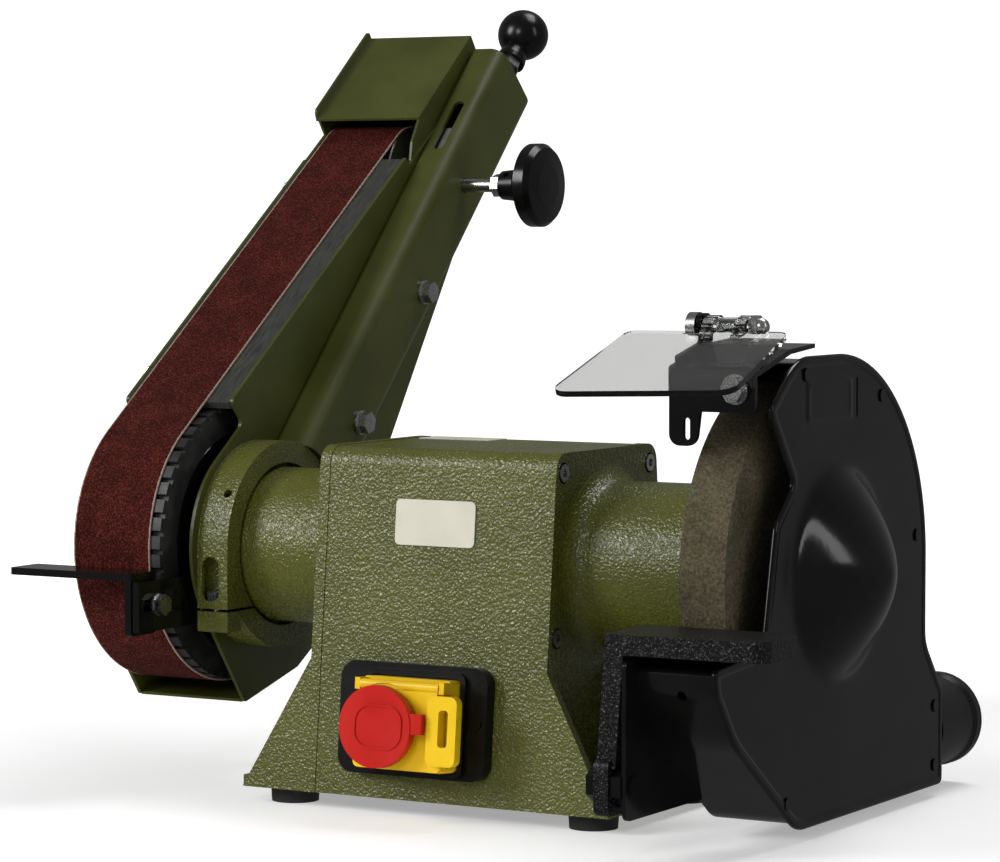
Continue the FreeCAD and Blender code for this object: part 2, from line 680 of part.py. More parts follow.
def make_contact_tyre():
    """Serrated rubber tyre, 48 shallow grooves across its tread."""
    tyre = ring_x(TYRE_X, CONTACT_RADIUS, 61.0)
    grooves = []
    for i in range(48):
        groove = block((TYRE_X[0] - 1, TYRE_X[1] + 1), (-1.5, 1.5), (CONTACT_RADIUS - 3, CONTACT_RADIUS + 2))
        groove.rotate(Vector(0, 0, 0), ALONG_X, 7.5 * i)
        groove.translate(Vector(0, 0, SHAFT_HEIGHT))
        grooves.append(groove)
    return tyre.cut(grooves)


def ring_ends():
    """Splits of the clamp ring: the saw cuts at the front and back, below the axis."""
    return plate_x([(-70, -33), (70, -33), (70, -31), (-70, -31)], (RING_X[0] - 1, RING_X[1] + 1))


def ring_blank():
    """Clamp ring before it is split, with the relief round the nose tube."""
    bore = rod_x((RING_X[0] - 1, RING_X[1] + 1), NOSE_RADIUS + RUNNING_CLEARANCE, 0, 0)
    relief = rod_x((RING_X[1] - 7, RING_X[1] + 1), 45.0, 0, 0)
    return rod_x(RING_X, RING_RADIUS, 0, 0).cut([bore, relief])


CLAMP_BOLT_Y = 51.0
CLAMP_BOLT_X = -141.5


def make_clamp_ring():
    """Upper part of the clamp ring, welded to the beam, with a pad for each clamp bolt."""
    shape = ring_blank()
    for side in (-1, 1):
        pad = block((RING_X[0], RING_X[1]), sorted((side * 44, side * 57)), (-33, 2))
        shape = shape.fuse(pad.cut(rod_x((-160, -120), 46.0, 0, 0)))
    shape = shape.cut(block((-170, -110), (-80, 80), (-90, -31.5)))
    for side in (-1, 1):
        y = side * CLAMP_BOLT_Y
        shape = shape.cut(rod((CLAMP_BOLT_X, y, -40), ALONG_Z, 3.0, 45))
        shape = shape.cut(rod((CLAMP_BOLT_X, y, -27.5), ALONG_Z, 6.6, 24))
        mouth = rectangle((CLAMP_BOLT_X - 5.6, CLAMP_BOLT_X + 5.6), (-27.5, -3.5), 5.5)
        shape = shape.cut(plate_y(mouth, sorted((y, side * 60))))
    shape = shape.cut(cylinder_between((-136, -50, 32), (-136, -36, 23), 2.5))
    shape.translate(Vector(0, 0, SHAFT_HEIGHT))
    return shape


def make_clamp_cap():
    """Lower part of the clamp ring."""
    shape = ring_blank()
    for side in (-1, 1):
        pad = block((RING_X[0], RING_X[1]), sorted((side * 44, side * 57)), (-44, -33))
        shape = shape.fuse(pad.cut(rod_x((-160, -120), 46.0, 0, 0)))
    shape = shape.cut(block((-170, -110), (-80, 80), (-33, 90)))
    for side in (-1, 1):
        y = side * CLAMP_BOLT_Y
        shape = shape.cut(rod((CLAMP_BOLT_X, y, -60), ALONG_Z, 3.2, 45))
    shape.translate(Vector(0, 0, SHAFT_HEIGHT))
    return shape


def make_clamp_bolts():
    """Two bolts, sunk in pockets of the ring, that draw its halves together."""
    bolts = []
    for side in (-1, 1):
        start = (CLAMP_BOLT_X, side * CLAMP_BOLT_Y, SHAFT_HEIGHT - 27.4)
        bolts.append(hex_bolt(start, (0, 0, 1), 2.95, 16.0, 10.0, 5.0))
    return bolts


# ---------------------------------------------------------------- belt housing
def back_line(s):
    """Height of the housing's back edge above the shaft, along the belt run."""
    double = math.radians(2 * BELT_TAPER)
    return (s * math.sin(double) - BACK_DISTANCE) / math.cos(double)


def side_outline(front, top_front):
    """(s, n) corners of a belt housing side plate."""
    return [
        (HOUSING_TOP, top_front), (258.0, top_front), (257.0, front), (28.0, front, 3), (30.0, 60.5, 4),
        (-61.0, 60.5, 58), (-61.0, -64.4, 2), (-10.0, -84.5, 6), (22.3, back_line(22.3), 10),
        (HOUSING_TOP, back_line(HOUSING_TOP)),
    ]


def axle_slot():
    """Outline of the slot the idler axle slides along."""
    return rectangle((IDLER_DISTANCE - CARRIAGE_TRAVEL - 8, IDLER_DISTANCE + 9), (-7, 7), 6.5)


def make_inner_side_plate():
    """Sheet between the beam and the belt, with a hole round the nose tube and the axle slot."""
    plate = plate_x(side_outline(77.7, 72.0), INNER_PLATE_X)
    plate = plate.cut(rod_x((-160, -140), 45.0, 0, 0))
    plate = on_run(plate)
    slot = plate_x(axle_slot(), (-160, -140))
    holes = [on_arm(rod_x((-160, -140), 3.1, t, BEAM_BOLT_M)) for t in BEAM_BOLT_T]
    return plate.cut([on_arm(slot)] + holes)


def make_outer_side_plate():
    """Outer cover of the belt housing."""
    plate = plate_x(side_outline(77.0, 76.0), OUTER_PLATE_X)
    plate = plate.cut(rod_x((-230, -210), 14.0, 0, 0))
    for s in PLATEN_BOLT_S:
        plate = plate.cut(rod_x((-230, -210), 2.1, s, PLATEN_BOLT_N))
    return on_run(plate)


def make_back_cover():
    """Folded sheet that closes the belt housing below and behind."""
    outside = [(-61.0, -64.4), (-10.0, -84.5, 6), (22.3, back_line(22.3), 10),
               (HOUSING_TOP, back_line(HOUSING_TOP))]
    t = HOUSING_SHEET
    inside = [(HOUSING_TOP, back_line(HOUSING_TOP) + t + 0.1), (22.6, back_line(22.3) + t + 0.1, 8.5),
              (-9.4, -84.5 + t + 0.1, 4.5), (-60.4, -64.4 + t)]
    sheet = plate_x(outside + inside, (OUTER_PLATE_X[1], INNER_PLATE_X[0]))
    return on_run(sheet)


def make_top_cap():
    """Folded sheet hood over the idler, with a raised lip along its left edge."""
    t = HOUSING_SHEET
    top = plate_x([(284, 86), (HOUSING_TOP, 90.5), (HOUSING_TOP, 90.5 + t), (284, 86 + t)], (-222, -151))
    lip = plate_x([(284, 86), (HOUSING_TOP, 90.5), (HOUSING_TOP, 97, 2), (286, 92.5, 3)], (-223.5, -222))
    side = plate_x([(262, 72.2), (HOUSING_TOP, 72.2), (HOUSING_TOP, 90.5), (284, 86), (270, 80)], (-152.5, -151))
    end = block((-220, -152.5), (HOUSING_TOP - t, HOUSING_TOP), (back_line(HOUSING_TOP) + 2, 91))
    outer = plate_x([(284, 76.2), (HOUSING_TOP, 76.2), (HOUSING_TOP, 91), (284, 86.5)], (-222, -220.5))
    return on_run(top.fuse([lip, side, end, outer]))


def make_platen():
    """Flat graphite-faced steel bar behind the belt's front run."""
    bar = block((-219.9, -152.1), (28, 257), (PLATEN_FACE - 9, PLATEN_FACE))
    bar = bar.cut(rod_x((-221, -151), CONTACT_RADIUS + 1, 0, 0))
    for s in PLATEN_BOLT_S:
        bar = bar.cut(rod_x((-221, -205), 2.05, s, PLATEN_BOLT_N))
    idler_room = rod_x((-221, -151), IDLER_RADIUS + 1.0, IDLER_DISTANCE - CARRIAGE_TRAVEL, 0)
    return on_run(bar).cut(on_arm(idler_room))


def belt_loop(outward):
    """Closed (s, n) loop round both wheels, a distance outside the contact wheel's belt line."""
    big = BELT_INNER + outward
    small = IDLER_RADIUS + MOVING_GAP + outward
    taper = math.radians(BELT_TAPER)
    far = Vector(IDLER_DISTANCE, 0, 0)

    def at(centre, radius, angle):
        return centre + Vector(radius * math.cos(angle), radius * math.sin(angle), 0)

    upper = math.pi / 2 - taper
    centre = Vector(0, 0, 0)
    edges = [
        Part.makeLine(at(centre, big, upper), at(far, small, upper)),
        Part.Arc(at(far, small, upper), at(far, small, 0), at(far, small, -upper)).toShape(),
        Part.makeLine(at(far, small, -upper), at(centre, big, -upper)),
        Part.Arc(at(centre, big, -upper), at(centre, big, math.pi), at(centre, big, upper)).toShape(),
    ]
    return Part.Wire(edges)


def make_sanding_belt():
    """Abrasive cloth belt, 50 mm wide and 914 mm round."""
    band = Part.Face(belt_loop(BELT_THICKNESS)).cut(Part.Face(belt_loop(0.0)))
    band = band.extrude(Vector(0, 0, BELT_WIDTH))
    left = BELT_X - BELT_WIDTH / 2
    band.Placement = FreeCAD.Placement(Vector(left, 0, 0), FreeCAD.Rotation(Vector(1, 1, 1), 120))
    return on_arm(band)


# ---------------------------------------------------------------- arm beam and belt tension
def make_arm_beam():
    """Rectangular tube from the clamp ring to the ball knob, with a stop block for the tension spring."""
    outer = plate_z([(BEAM_X[0], -BEAM_HALF_DEPTH, 4), (BEAM_X[1], -BEAM_HALF_DEPTH, 9),
                     (BEAM_X[1], BEAM_HALF_DEPTH, 9), (BEAM_X[0], BEAM_HALF_DEPTH, 4)], (40, BEAM_END))
    wall = BEAM_WALL
    inner = plate_z([(BEAM_X[0] + wall, -BEAM_HALF_DEPTH + wall, 2), (BEAM_X[1] - wall, -BEAM_HALF_DEPTH + wall, 7),
                     (BEAM_X[1] - wall, BEAM_HALF_DEPTH - wall, 7), (BEAM_X[0] + wall, BEAM_HALF_DEPTH - wall, 2)],
                    (30, BEAM_END + 1))
    beam = outer.cut(inner)
    beam.rotate(Vector(0, 0, 0), ALONG_X, -90)
    beam = beam.cut(rod_x((-160, -120), RING_RADIUS + 0.02, 0, 0))
    sight = plate_z(rectangle((-142.5, -135.5), (282, 322), 3.4), (BEAM_HALF_DEPTH - 5, BEAM_HALF_DEPTH + 5))
    axle = plate_x(axle_slot(), (-155, -145))
    screw = rod_x((-131, -120), 4.0 + MOVING_GAP, TRACKING_T, 0)
    beam = beam.cut([sight, axle, screw])
    for t in BEAM_BOLT_T:
        beam = beam.cut(rod_x((-155, -120), 3.1, t, BEAM_BOLT_M))
    stop = plate_z([(BEAM_X[0] + 1, -24, 3), (BEAM_X[1] - 1, -24, 8),
                    (BEAM_X[1] - 1, 24, 8), (BEAM_X[0] + 1, 24, 3)], (205, 213))
    stop.rotate(Vector(0, 0, 0), ALONG_X, -90)
    return on_arm(beam.fuse(stop))


def make_beam_end_cap():
    """Plate that closes the beam's top end and guides the tension rod."""
    cap = plate_z([(BEAM_X[0], -BEAM_HALF_DEPTH, 4), (BEAM_X[1], -BEAM_HALF_DEPTH, 9),
                   (BEAM_X[1], BEAM_HALF_DEPTH, 9), (BEAM_X[0], BEAM_HALF_DEPTH, 4)], (0, 3))
    cap.rotate(Vector(0, 0, 0), ALONG_X, -90)
    cap.translate(Vector(0, BEAM_END + 0.1, 0))
    hole = rod((TENSION_X, BEAM_END - 5, 0), ALONG_Y, 5.0 + RUNNING_CLEARANCE, 15)
    return on_arm(cap.cut(hole))


def make_arm_fasteners():
    """Beam bolts with their washers, and the platen's bolts."""
    pieces = []
    face = BEAM_X[1]
    for t in BEAM_BOLT_T:
        bolt = hex_bolt((face + 1.3, t, BEAM_BOLT_M), (1, 0, 0), 3.0, 24.5, 11.0, 5.5)
        pieces.append(on_arm(bolt.fuse(rod_x((face + 0.05, face + 1.3), 7.0, t, BEAM_BOLT_M))))
    for s in PLATEN_BOLT_S:
        pieces.append(on_run(hex_bolt((OUTER_PLATE_X[0] - 0.1, s, PLATEN_BOLT_N), (-1, 0, 0), 2.0, 10, 7.0, 3.2)))
    return pieces


def make_tension_carriage():
    """Block that slides in the beam and holds the idler axle."""
    section = rectangle((-147.2, -130.2), (-22.4, 22.4), 7.6)
    carriage = plate_z(section, (0, CARRIAGE_T[1] - CARRIAGE_T[0]))
    carriage.rotate(Vector(0, 0, 0), ALONG_X, -90)
    carriage.translate(Vector(0, CARRIAGE_T[0], 0))
    pocket = rod((TENSION_X, CARRIAGE_T[0] - 1, 0), ALONG_Y, 7.5, 6)
    return on_arm(carriage.cut([pocket, rod_x((-150, -138), 6.0, IDLER_DISTANCE, 0)]))


def make_idler_axle():
    """Axle screwed into the carriage, with a head at its outer end."""
    axle = rod_x((-219.0, -138.1), 6.0, IDLER_DISTANCE, 0)
    head = rod_x((-219.4, -217.6), 9.0, IDLER_DISTANCE, 0)
    collar = rod_x((-166.0, -156.0), 9.0, IDLER_DISTANCE, 0)
    return on_arm(axle.fuse([head, collar]))


def make_tension_rod():
    """Rod from the carriage to the ball knob, with its collar and lock nut."""
    rod_shape = rod((TENSION_X, CARRIAGE_T[1], 0), ALONG_Y, 5.0, 88.0)
    nut = hexagon((TENSION_X, 376.0, 0), (0, 1, 0), 13.0, 5.0)
    return on_arm(rod_shape.fuse(nut))


def make_ball_knob():
    """Round knob on the end of the tension rod."""
    ball = Part.makeSphere(15.5, Vector(TENSION_X, 405.0, 0))
    foot = rod((TENSION_X, 381.1, 0), ALONG_Y, 9.0, 3.0)
    neck = Part.makeCone(9.0, 7.5, 8.0, Vector(TENSION_X, 384.0, 0), ALONG_Y)
    hole = rod((TENSION_X, 380.0, 0), ALONG_Y, 5.0, 10.0)
    return on_arm(ball.fuse([foot, neck]).cut(hole))


def make_tension_spring():
    """Compression spring under the carriage, drawn as a coil."""
    length = 40.6
    pitch = 5.2
    helix = Part.makeHelix(pitch, length, 5.6)
    start = Vector(5.6, 0, 0)
    section = Part.Wire(Part.Circle(start, ALONG_Y, 0.9).toShape())
    coil = Part.Wire(helix).makePipeShell([section], True, True)
    coil.rotate(Vector(0, 0, 0), ALONG_X, -90)
    coil.translate(Vector(TENSION_X, 222.6, 0))
    return on_arm(coil)


# ---------------------------------------------------------------- idler and tracking knob
def make_idler_wheel():
    """Crowned aluminium idler, bored for two bearings."""
    half = BELT_WIDTH / 2
    flat = IDLER_RADIUS - 0.4
    profile = [(-half, 11.0), (-half, flat - 0.6), (-half + 0.6, flat), (-8, IDLER_RADIUS), (8, IDLER_RADIUS)]
    profile += [(half - 0.6, flat), (half, flat - 0.6), (half, 11.0), (half - 9, 11.0), (half - 9, 9.5)]
    profile += [(-half + 9, 9.5), (-half + 9, 11.0)]
    wheel = turned_x([(BELT_X + x, radius) for x, radius in profile], IDLER_DISTANCE, 0)
    return on_arm(wheel)


def make_idler_bearings():
    """Two ball bearings pressed into the idler."""
    half = BELT_WIDTH / 2
    bearings = []
    for low in (BELT_X - half, BELT_X + half - 9):
        ring = ring_x((low, low + 9), 11.0, 6.0 + RUNNING_CLEARANCE, IDLER_DISTANCE, 0)
        bearings.append(on_arm(ring))
    return bearings


def make_tracking_screw():
    """Threaded screw that tilts the idler's axle, with the nut that locks its knob."""
    nut = hexagon((-107.0, TRACKING_T, 0), (1, 0, 0), 12.0, 5.5)
    return on_arm(rod_x((-129.4, -88.0), 4.0, TRACKING_T, 0).fuse(nut))


def make_tracking_knob():
    """Domed knob with a slim hub, held on the screw by a set screw."""
    disc_x = -83.0
    profile = [(-101.0, 4.0), (-101.0, 8.5), (-91.0, 9.5), (-88.0, 13.0), (disc_x, 22.0), (disc_x + 1.5, 24.5)]
    profile += [(disc_x + 8.0, 24.5), (disc_x + 11.0, 22.0), (disc_x + 12.5, 12.0), (disc_x + 13.0, 0)]
    profile += [(-88.0, 0), (-88.0, 4.0)]
    knob = turned_x(profile, TRACKING_T, 0)
    return on_arm(knob.cut(rod((-96.0, TRACKING_T, 4.2), ALONG_Z, 1.8, 8)))


# ---------------------------------------------------------------- left work rest
def make_left_rest_support():
    """Flat bar bolted to the housing that carries the left rest."""
    bar = block((-159.6, -155.4), (-104, -42), (97, 124))
    foot = block((-155.4, INNER_PLATE_X[0]), (-52, -42), (97, 124))
    slot = plate_x(rectangle((-100, -80.8), (LEFT_BOLT_Z - 3.3, LEFT_BOLT_Z + 3.3), 3.25), (-165, -150))
    return bar.fuse(foot).cut(slot)


def make_left_rest():
    """Bent plate in front of the belt: a table and a leg."""
    table = plate_z(rectangle((-240, -160), (-105, -80.4), 1.5), (124.5, 128.5))
    leg = plate_x([(-104.9, 95, 2), (-82.0, 95, 2), (-82.0, 126), (-104.9, 126)], (-164, -160))
    rest = table.fuse(leg)
    return rest.cut(rod_x((-170, -150), 3.0, LEFT_BOLT_Y, LEFT_BOLT_Z))


def make_left_rest_bolt():
    """Bolt with a washer that clamps the left rest through the support's slot."""
    bolt = hex_bolt((-153.9, LEFT_BOLT_Y, LEFT_BOLT_Z), (1, 0, 0), 2.9, 12.5, 10.0, 4.5)
    washer = rod_x((-155.2, -153.9), 6.0, LEFT_BOLT_Y, LEFT_BOLT_Z)
    nut = hexagon((-164.1, LEFT_BOLT_Y, LEFT_BOLT_Z), (-1, 0, 0), 10.0, 4.5)
    return bolt.fuse([washer, nut])


# ---------------------------------------------------------------- switch
PANEL_RUN = BODY_HALF_DEPTH_BOTTOM - BODY_HALF_DEPTH_TOP
PANEL_SLOPE = math.degrees(math.atan(PANEL_RUN / (BODY_TOP - BODY_BOTTOM)))
PANEL_MID_Z = 57.5
LID_HINGE = (0.0, -24.2, 17.6)
LID_PIN_RADIUS = 1.2
STEM_RADIUS = 6.0
STOP_PLACE = (-8.9, -3.7)
START_PLACE = (12.6, 9.0)


def on_panel(shape):
    """Tilt a shape drawn on a vertical front plane to the body's sloped front panel.

    Drawn with y = 0 on the panel face, -y outwards, and z up from the middle of the switch.
    """
    placed = shape.copy()
    placed.rotate(Vector(0, 0, 0), ALONG_X, -PANEL_SLOPE)
    placed.translate(Vector(0, -body_half_depth(PANEL_MID_Z) + 0.4, PANEL_MID_Z))
    return placed


def button(place, radius, face, depth):
    """Round button whose face stands at y = face."""
    return rod((place[0], face, place[1]), ALONG_Y, radius, depth)


def make_switch_plate():
    """Black backing plate of the switch, with a raised frame round the housing."""
    plate = plate_y(rectangle((-47.3, 41.3), (-30.1, 28.5), 9), (-8, 0))
    frame = plate_y(rectangle((-31.5, 29.5), (-29.0, 25.5), 5), (-10.5, -7))
    pocket = block((-24, 22), (-4, 1), (-20, 16))
    well = plate_y(rectangle((-28.2, 26.6), (-26.7, 22.4), 3), (-12, -8))
    return on_panel(plate.fuse(frame).cut([pocket, well]))


def make_switch_screws():
    """Two black screws that hold the switch plate."""
    screws = []
    for x in (-39.5, 35.5):
        screws.append(on_panel(rod((x, -9.0, 0), ALONG_Y, 3.2, 0.95)))
    return screws


def make_switch_box():
    """Yellow switch housing with two button wells, and the lid's hinge pin between two lugs."""
    box = plate_y(rectangle((-27.5, 26), (-26, 13), 3), (-21.6, -8.05))
    base = plate_y(rectangle((-27.5, 26), (-26, 21.5), 3), (-18.0, -8.05))
    wells = [button(STOP_PLACE, 7.4, -23, 12), button(START_PLACE, 4.4, -23, 12)]
    pin = rod_x((-27.0, 25.5), LID_PIN_RADIUS, LID_HINGE[1], LID_HINGE[2])
    lugs = [block(x, (-26.0, -16), (14.6, 20.6)) for x in ((-27.5, -24.5), (23.0, 26))]
    return on_panel(box.fuse(base).cut(wells).fuse(lugs + [pin]))


def make_stop_button():
    """Round red button behind the paddle."""
    return on_panel(button(STOP_PLACE, 7.0, -22.4, 7.2))


def make_start_button():
    """Green start button in the housing."""
    return on_panel(button(START_PLACE, 4.0, -22.2, 7.0))


def make_switch_lid():
    """Yellow lid over the buttons, hinged at its top edge, with the padlock loop at its right."""
    lid = plate_y(rectangle((-27.0, 25.5), (-25.5, 13.2), 3), (-25.6, -22.8))
    lid = lid.fuse(rod_x((-24.2, 22.7), 2.6, LID_HINGE[1], LID_HINGE[2]))
    lid = lid.fuse(block((-23.5, 22.0), (-25.6, -23.4), (11, 17)))
    loop = plate_y(rectangle((19.6, 37.0), (-21.8, 14.0), 4), (-31.0, -25.5))
    window = plate_y(rectangle((26.4, 32.0), (-12.0, 7.0), 2), (-40, -20))
    lid = lid.fuse(loop).cut(window)
    lid = lid.cut(rod_x((-30, 28), LID_PIN_RADIUS + RUNNING_CLEARANCE, LID_HINGE[1], LID_HINGE[2]))
    return on_panel(lid.cut(button(STOP_PLACE, STEM_RADIUS + 0.4, -35, 20)).cut(paddle_room()))


def paddle_room():
    """Space the paddle sweeps through in front of the lid."""
    disc = button(STOP_PLACE, 22.3, -45, 19.0)
    tab = block((0, 19.4), (-45, -26.0), (-7.2, 5.2))
    return disc.fuse(tab)


def make_emergency_paddle():
    """Large red paddle that presses the stop button, with a tab at the right."""
    x, z = STOP_PLACE
    disc = button(STOP_PLACE, 21.3, -35.5, 5.5)
    rim = plate_y(rectangle((x - 12.5, x + 16.5), (z - 11.5, z + 11.5), 9), (-36.2, -35.3))
    rim = rim.cut(plate_y(rectangle((x - 11.3, x + 15.3), (z - 10.3, z + 10.3), 8), (-37, -35)))
    tab = block((x + 15, 18.6), (-35.0, -30.5), (z - 2.5, z + 8))
    stem = button(STOP_PLACE, STEM_RADIUS, -31.0, 8.3)
    return on_panel(disc.fuse([rim, tab, stem]))


def make_badge():
    """Blank oval-cornered plate on the front."""
    plate = plate_y(rectangle((-23, 25), (-12, 12), 3), (-0.8, 0))
    placed = plate.copy()
    placed.rotate(Vector(0, 0, 0), ALONG_X, -PANEL_SLOPE)
    placed.translate(Vector(0, -body_half_depth(159) + 0.4, 159))
    return placed


def make_top_label():
    """Blank label on top of the shell, towards the back."""
    top = BODY_TOP - 0.4
    return plate_z(rectangle((-62, -16), (28, 48), 2), (top, top + 0.25))


def make_cable_gland():
    """Threaded cable inlet low on the back panel."""
    profile = [(0.0, 4.0), (0.0, 11.0), (5.0, 11.0), (5.0, 9.0), (14.0, 8.0), (18.0, 6.5), (18.0, 4.0)]
    gland = turned_x(profile, 0, 0)
    gland.rotate(Vector(0, 0, 0), ALONG_Z, 90)
    gland.rotate(Vector(0, 0, 0), ALONG_X, PANEL_SLOPE)
    gland.translate(Vector(40, body_half_depth(36) - 0.4, 36))
    return gland


# ---------------------------------------------------------------- write every sub-part
save("motor_shell", make_motor_shell())
save("left_end_bell", make_end_bell(-1))
save("right_end_bell", make_end_bell(1))
group("body_screws", make_body_screws())
save("base_plate", make_base_plate())
group("rubber_feet", make_rubber_feet())
save("stator_core", make_stator_core())
group("stator_windings", make_stator_windings())
save("run_capacitor", make_run_capacitor())
group("shaft_bearings", make_shaft_bearings())
save("rotor_shaft", make_rotor_shaft())
save("rotor_core", make_rotor_core())
save("cooling_fan", make_cooling_fan())
save("grinding_wheel", make_grinding_wheel())
group("wheel_flanges", make_wheel_flanges())
group("shaft_nuts", make_shaft_nuts())
save("guard_shell", make_guard_shell())
group("guard_screws", make_guard_screws() + [make_right_rest_bolt()])
save("guard_cover", make_guard_cover())
save("exhaust_port", make_exhaust_port())
save("right_work_rest", make_right_rest())
save("spark_arrestor", make_spark_arrestor())
save("shield_arm", make_shield_arm())
save("eye_shield", make_eye_shield())
group("shield_fasteners", [make_shield_pin(), make_arrestor_bolt()])
save("contact_wheel_hub", make_contact_hub())
save("contact_wheel_tyre", make_contact_tyre())
save("clamp_ring", make_clamp_ring())
save("clamp_cap", make_clamp_cap())
group("clamp_bolts", make_clamp_bolts())
save("arm_beam", make_arm_beam())
save("beam_end_cap", make_beam_end_cap())
group("arm_fasteners", make_arm_fasteners())
save("inner_side_plate", make_inner_side_plate())
save("outer_side_plate", make_outer_side_plate())
save("back_cover", make_back_cover())
save("top_cap", make_top_cap())
save("platen", make_platen())
save("sanding_belt", make_sanding_belt())
save("tension_carriage", make_tension_carriage())
save("tension_spring", make_tension_spring())
save("idler_axle", make_idler_axle())
save("tension_rod", make_tension_rod())
save("ball_knob", make_ball_knob())
save("idler_wheel", make_idler_wheel())
group("idler_bearings", make_idler_bearings())
save("tracking_screw", make_tracking_screw())
save("tracking_knob", make_tracking_knob())
save("left_rest_support", make_left_rest_support())
save("left_work_rest", make_left_rest())
save("left_rest_bolt", make_left_rest_bolt())
group("switch_plate", [make_switch_plate()] + make_switch_screws())
save("switch_box", make_switch_box())
save("switch_lid", make_switch_lid())
save("stop_paddle", make_emergency_paddle())
save("stop_button", make_stop_button())
save("start_button", make_start_button())
save("badge", make_badge())
save("top_label", make_top_label())
save("cable_gland", make_cable_gland())
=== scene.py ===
import math

import bpy
import numpy as np
from mathutils import Matrix, Vector
from mathutils.geometry import delaunay_2d_cdt


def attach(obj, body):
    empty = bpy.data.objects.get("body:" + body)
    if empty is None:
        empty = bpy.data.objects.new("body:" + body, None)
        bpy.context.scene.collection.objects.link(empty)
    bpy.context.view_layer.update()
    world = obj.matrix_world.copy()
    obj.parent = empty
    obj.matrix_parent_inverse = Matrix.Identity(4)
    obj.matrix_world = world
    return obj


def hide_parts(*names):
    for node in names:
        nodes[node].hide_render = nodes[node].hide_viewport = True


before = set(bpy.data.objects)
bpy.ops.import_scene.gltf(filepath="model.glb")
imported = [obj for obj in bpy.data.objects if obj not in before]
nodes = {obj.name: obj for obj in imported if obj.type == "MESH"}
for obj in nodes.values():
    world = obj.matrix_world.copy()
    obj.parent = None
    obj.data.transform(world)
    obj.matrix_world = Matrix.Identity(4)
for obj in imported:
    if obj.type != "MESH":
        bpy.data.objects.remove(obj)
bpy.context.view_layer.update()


# ---------------------------------------------------------------- Bench, light and camera
# A pale round bench top and backdrop under four soft lamps: over the operator's left shoulder, in
# front, above the back and at the right. The bench and backdrop stay out of mirror reflections, so
# that black enamel looks black. The camera stands in front and to the right, above the shaft.
def finish(name, colour, roughness, metallic=0.0, specular=0.5):
    """Starts a material whose even values sit on the shader's own sockets."""
    material = bpy.data.materials.new(name)
    material.use_nodes = True
    tree = material.node_tree
    shader = tree.nodes["Principled BSDF"]
    shader.inputs["Base Color"].default_value = (*colour, 1)
    shader.inputs["Roughness"].default_value = roughness
    shader.inputs["Metallic"].default_value = metallic
    shader.inputs["Specular IOR Level"].default_value = specular
    return material, tree, shader


def grain(tree, kind, size_mm, stretch=(1, 1, 1), **settings):
    """Adds a texture in the part's own space, its cells about size_mm across."""
    place = tree.nodes.new("ShaderNodeTexCoord")
    mapping = tree.nodes.new("ShaderNodeMapping")
    mapping.inputs["Scale"].default_value = stretch
    texture = tree.nodes.new("ShaderNodeTex" + kind)
    tree.links.new(place.outputs["Object"], mapping.inputs["Vector"])
    tree.links.new(mapping.outputs["Vector"], texture.inputs["Vector"])
    texture.inputs["Scale"].default_value = 1000.0 / size_mm
    for key, value in settings.items():
        if key in ("feature", "bands_direction"):
            setattr(texture, key, value)
        else:
            texture.inputs[key.replace("_", " ").title()].default_value = value
    return texture


def tint(tree, shader, value, stops):
    """Colours the shader from a value through (position, colour) stops."""
    ramp = tree.nodes.new("ShaderNodeValToRGB")
    while len(ramp.color_ramp.elements) < len(stops):
        ramp.color_ramp.elements.new(0.5)
    for element, (position, colour) in zip(ramp.color_ramp.elements, stops):
        element.position = position
        element.color = (*colour, 1)
    tree.links.new(value, ramp.inputs["Fac"])
    tree.links.new(ramp.outputs["Color"], shader.inputs["Base Color"])
    return ramp


def spread(tree, value, low, high, socket, start=0.0, end=1.0):
    """Maps a value from start..end to low..high into a socket."""
    span = tree.nodes.new("ShaderNodeMapRange")
    span.inputs["From Min"].default_value = start
    span.inputs["From Max"].default_value = end
    span.inputs["To Min"].default_value = low
    span.inputs["To Max"].default_value = high
    tree.links.new(value, span.inputs["Value"])
    tree.links.new(span.outputs["Result"], socket)
    return span


def dull(tree, shader, value, low, high, start=0.3, end=0.7):
    """Lets the shader's roughness follow a value."""
    spread(tree, value, low, high, shader.inputs["Roughness"], start, end)


def emboss(tree, shader, layers):
    """Stacks (height value, depth in mm) layers of bump on the shader."""
    below = None
    for height, depth_mm in layers:
        bump = tree.nodes.new("ShaderNodeBump")
        bump.inputs["Distance"].default_value = depth_mm / 1000.0
        tree.links.new(height, bump.inputs["Height"])
        if below is not None:
            tree.links.new(below.outputs["Normal"], bump.inputs["Normal"])
        below = bump
    tree.links.new(below.outputs["Normal"], shader.inputs["Normal"])


BENCH_RADIUS = 1.2
BENCH_EVEN_RADIUS = 0.5
BACKDROP_FLOOR = 4.3
BACKDROP_CURVE = 0.9
BACKDROP_TOP = 1.7
CURVE_STEPS = 12
SHEET_SIDES = 96


def bench_top():
    """Matt pale laminate, faintly cloudy, that lights up away from the machine."""
    material, tree, shader = finish("bench_top", (0.86, 0.86, 0.86), 0.8)
    cloud = grain(tree, "Noise", 300.0, detail=3.0)
    tint(tree, shader, cloud.outputs["Fac"], [(0.3, (0.85, 0.85, 0.85)), (0.7, (0.88, 0.88, 0.88))])
    place = tree.nodes.new("ShaderNodeTexCoord")
    distance = tree.nodes.new("ShaderNodeVectorMath")
    distance.operation = "LENGTH"
    tree.links.new(place.outputs["Object"], distance.inputs[0])
    shader.inputs["Emission Color"].default_value = (1, 1, 1, 1)
    glow = shader.inputs["Emission Strength"]
    spread(tree, distance.outputs["Value"], 0.36, 1.0, glow, BENCH_EVEN_RADIUS, BENCH_RADIUS)
    return material


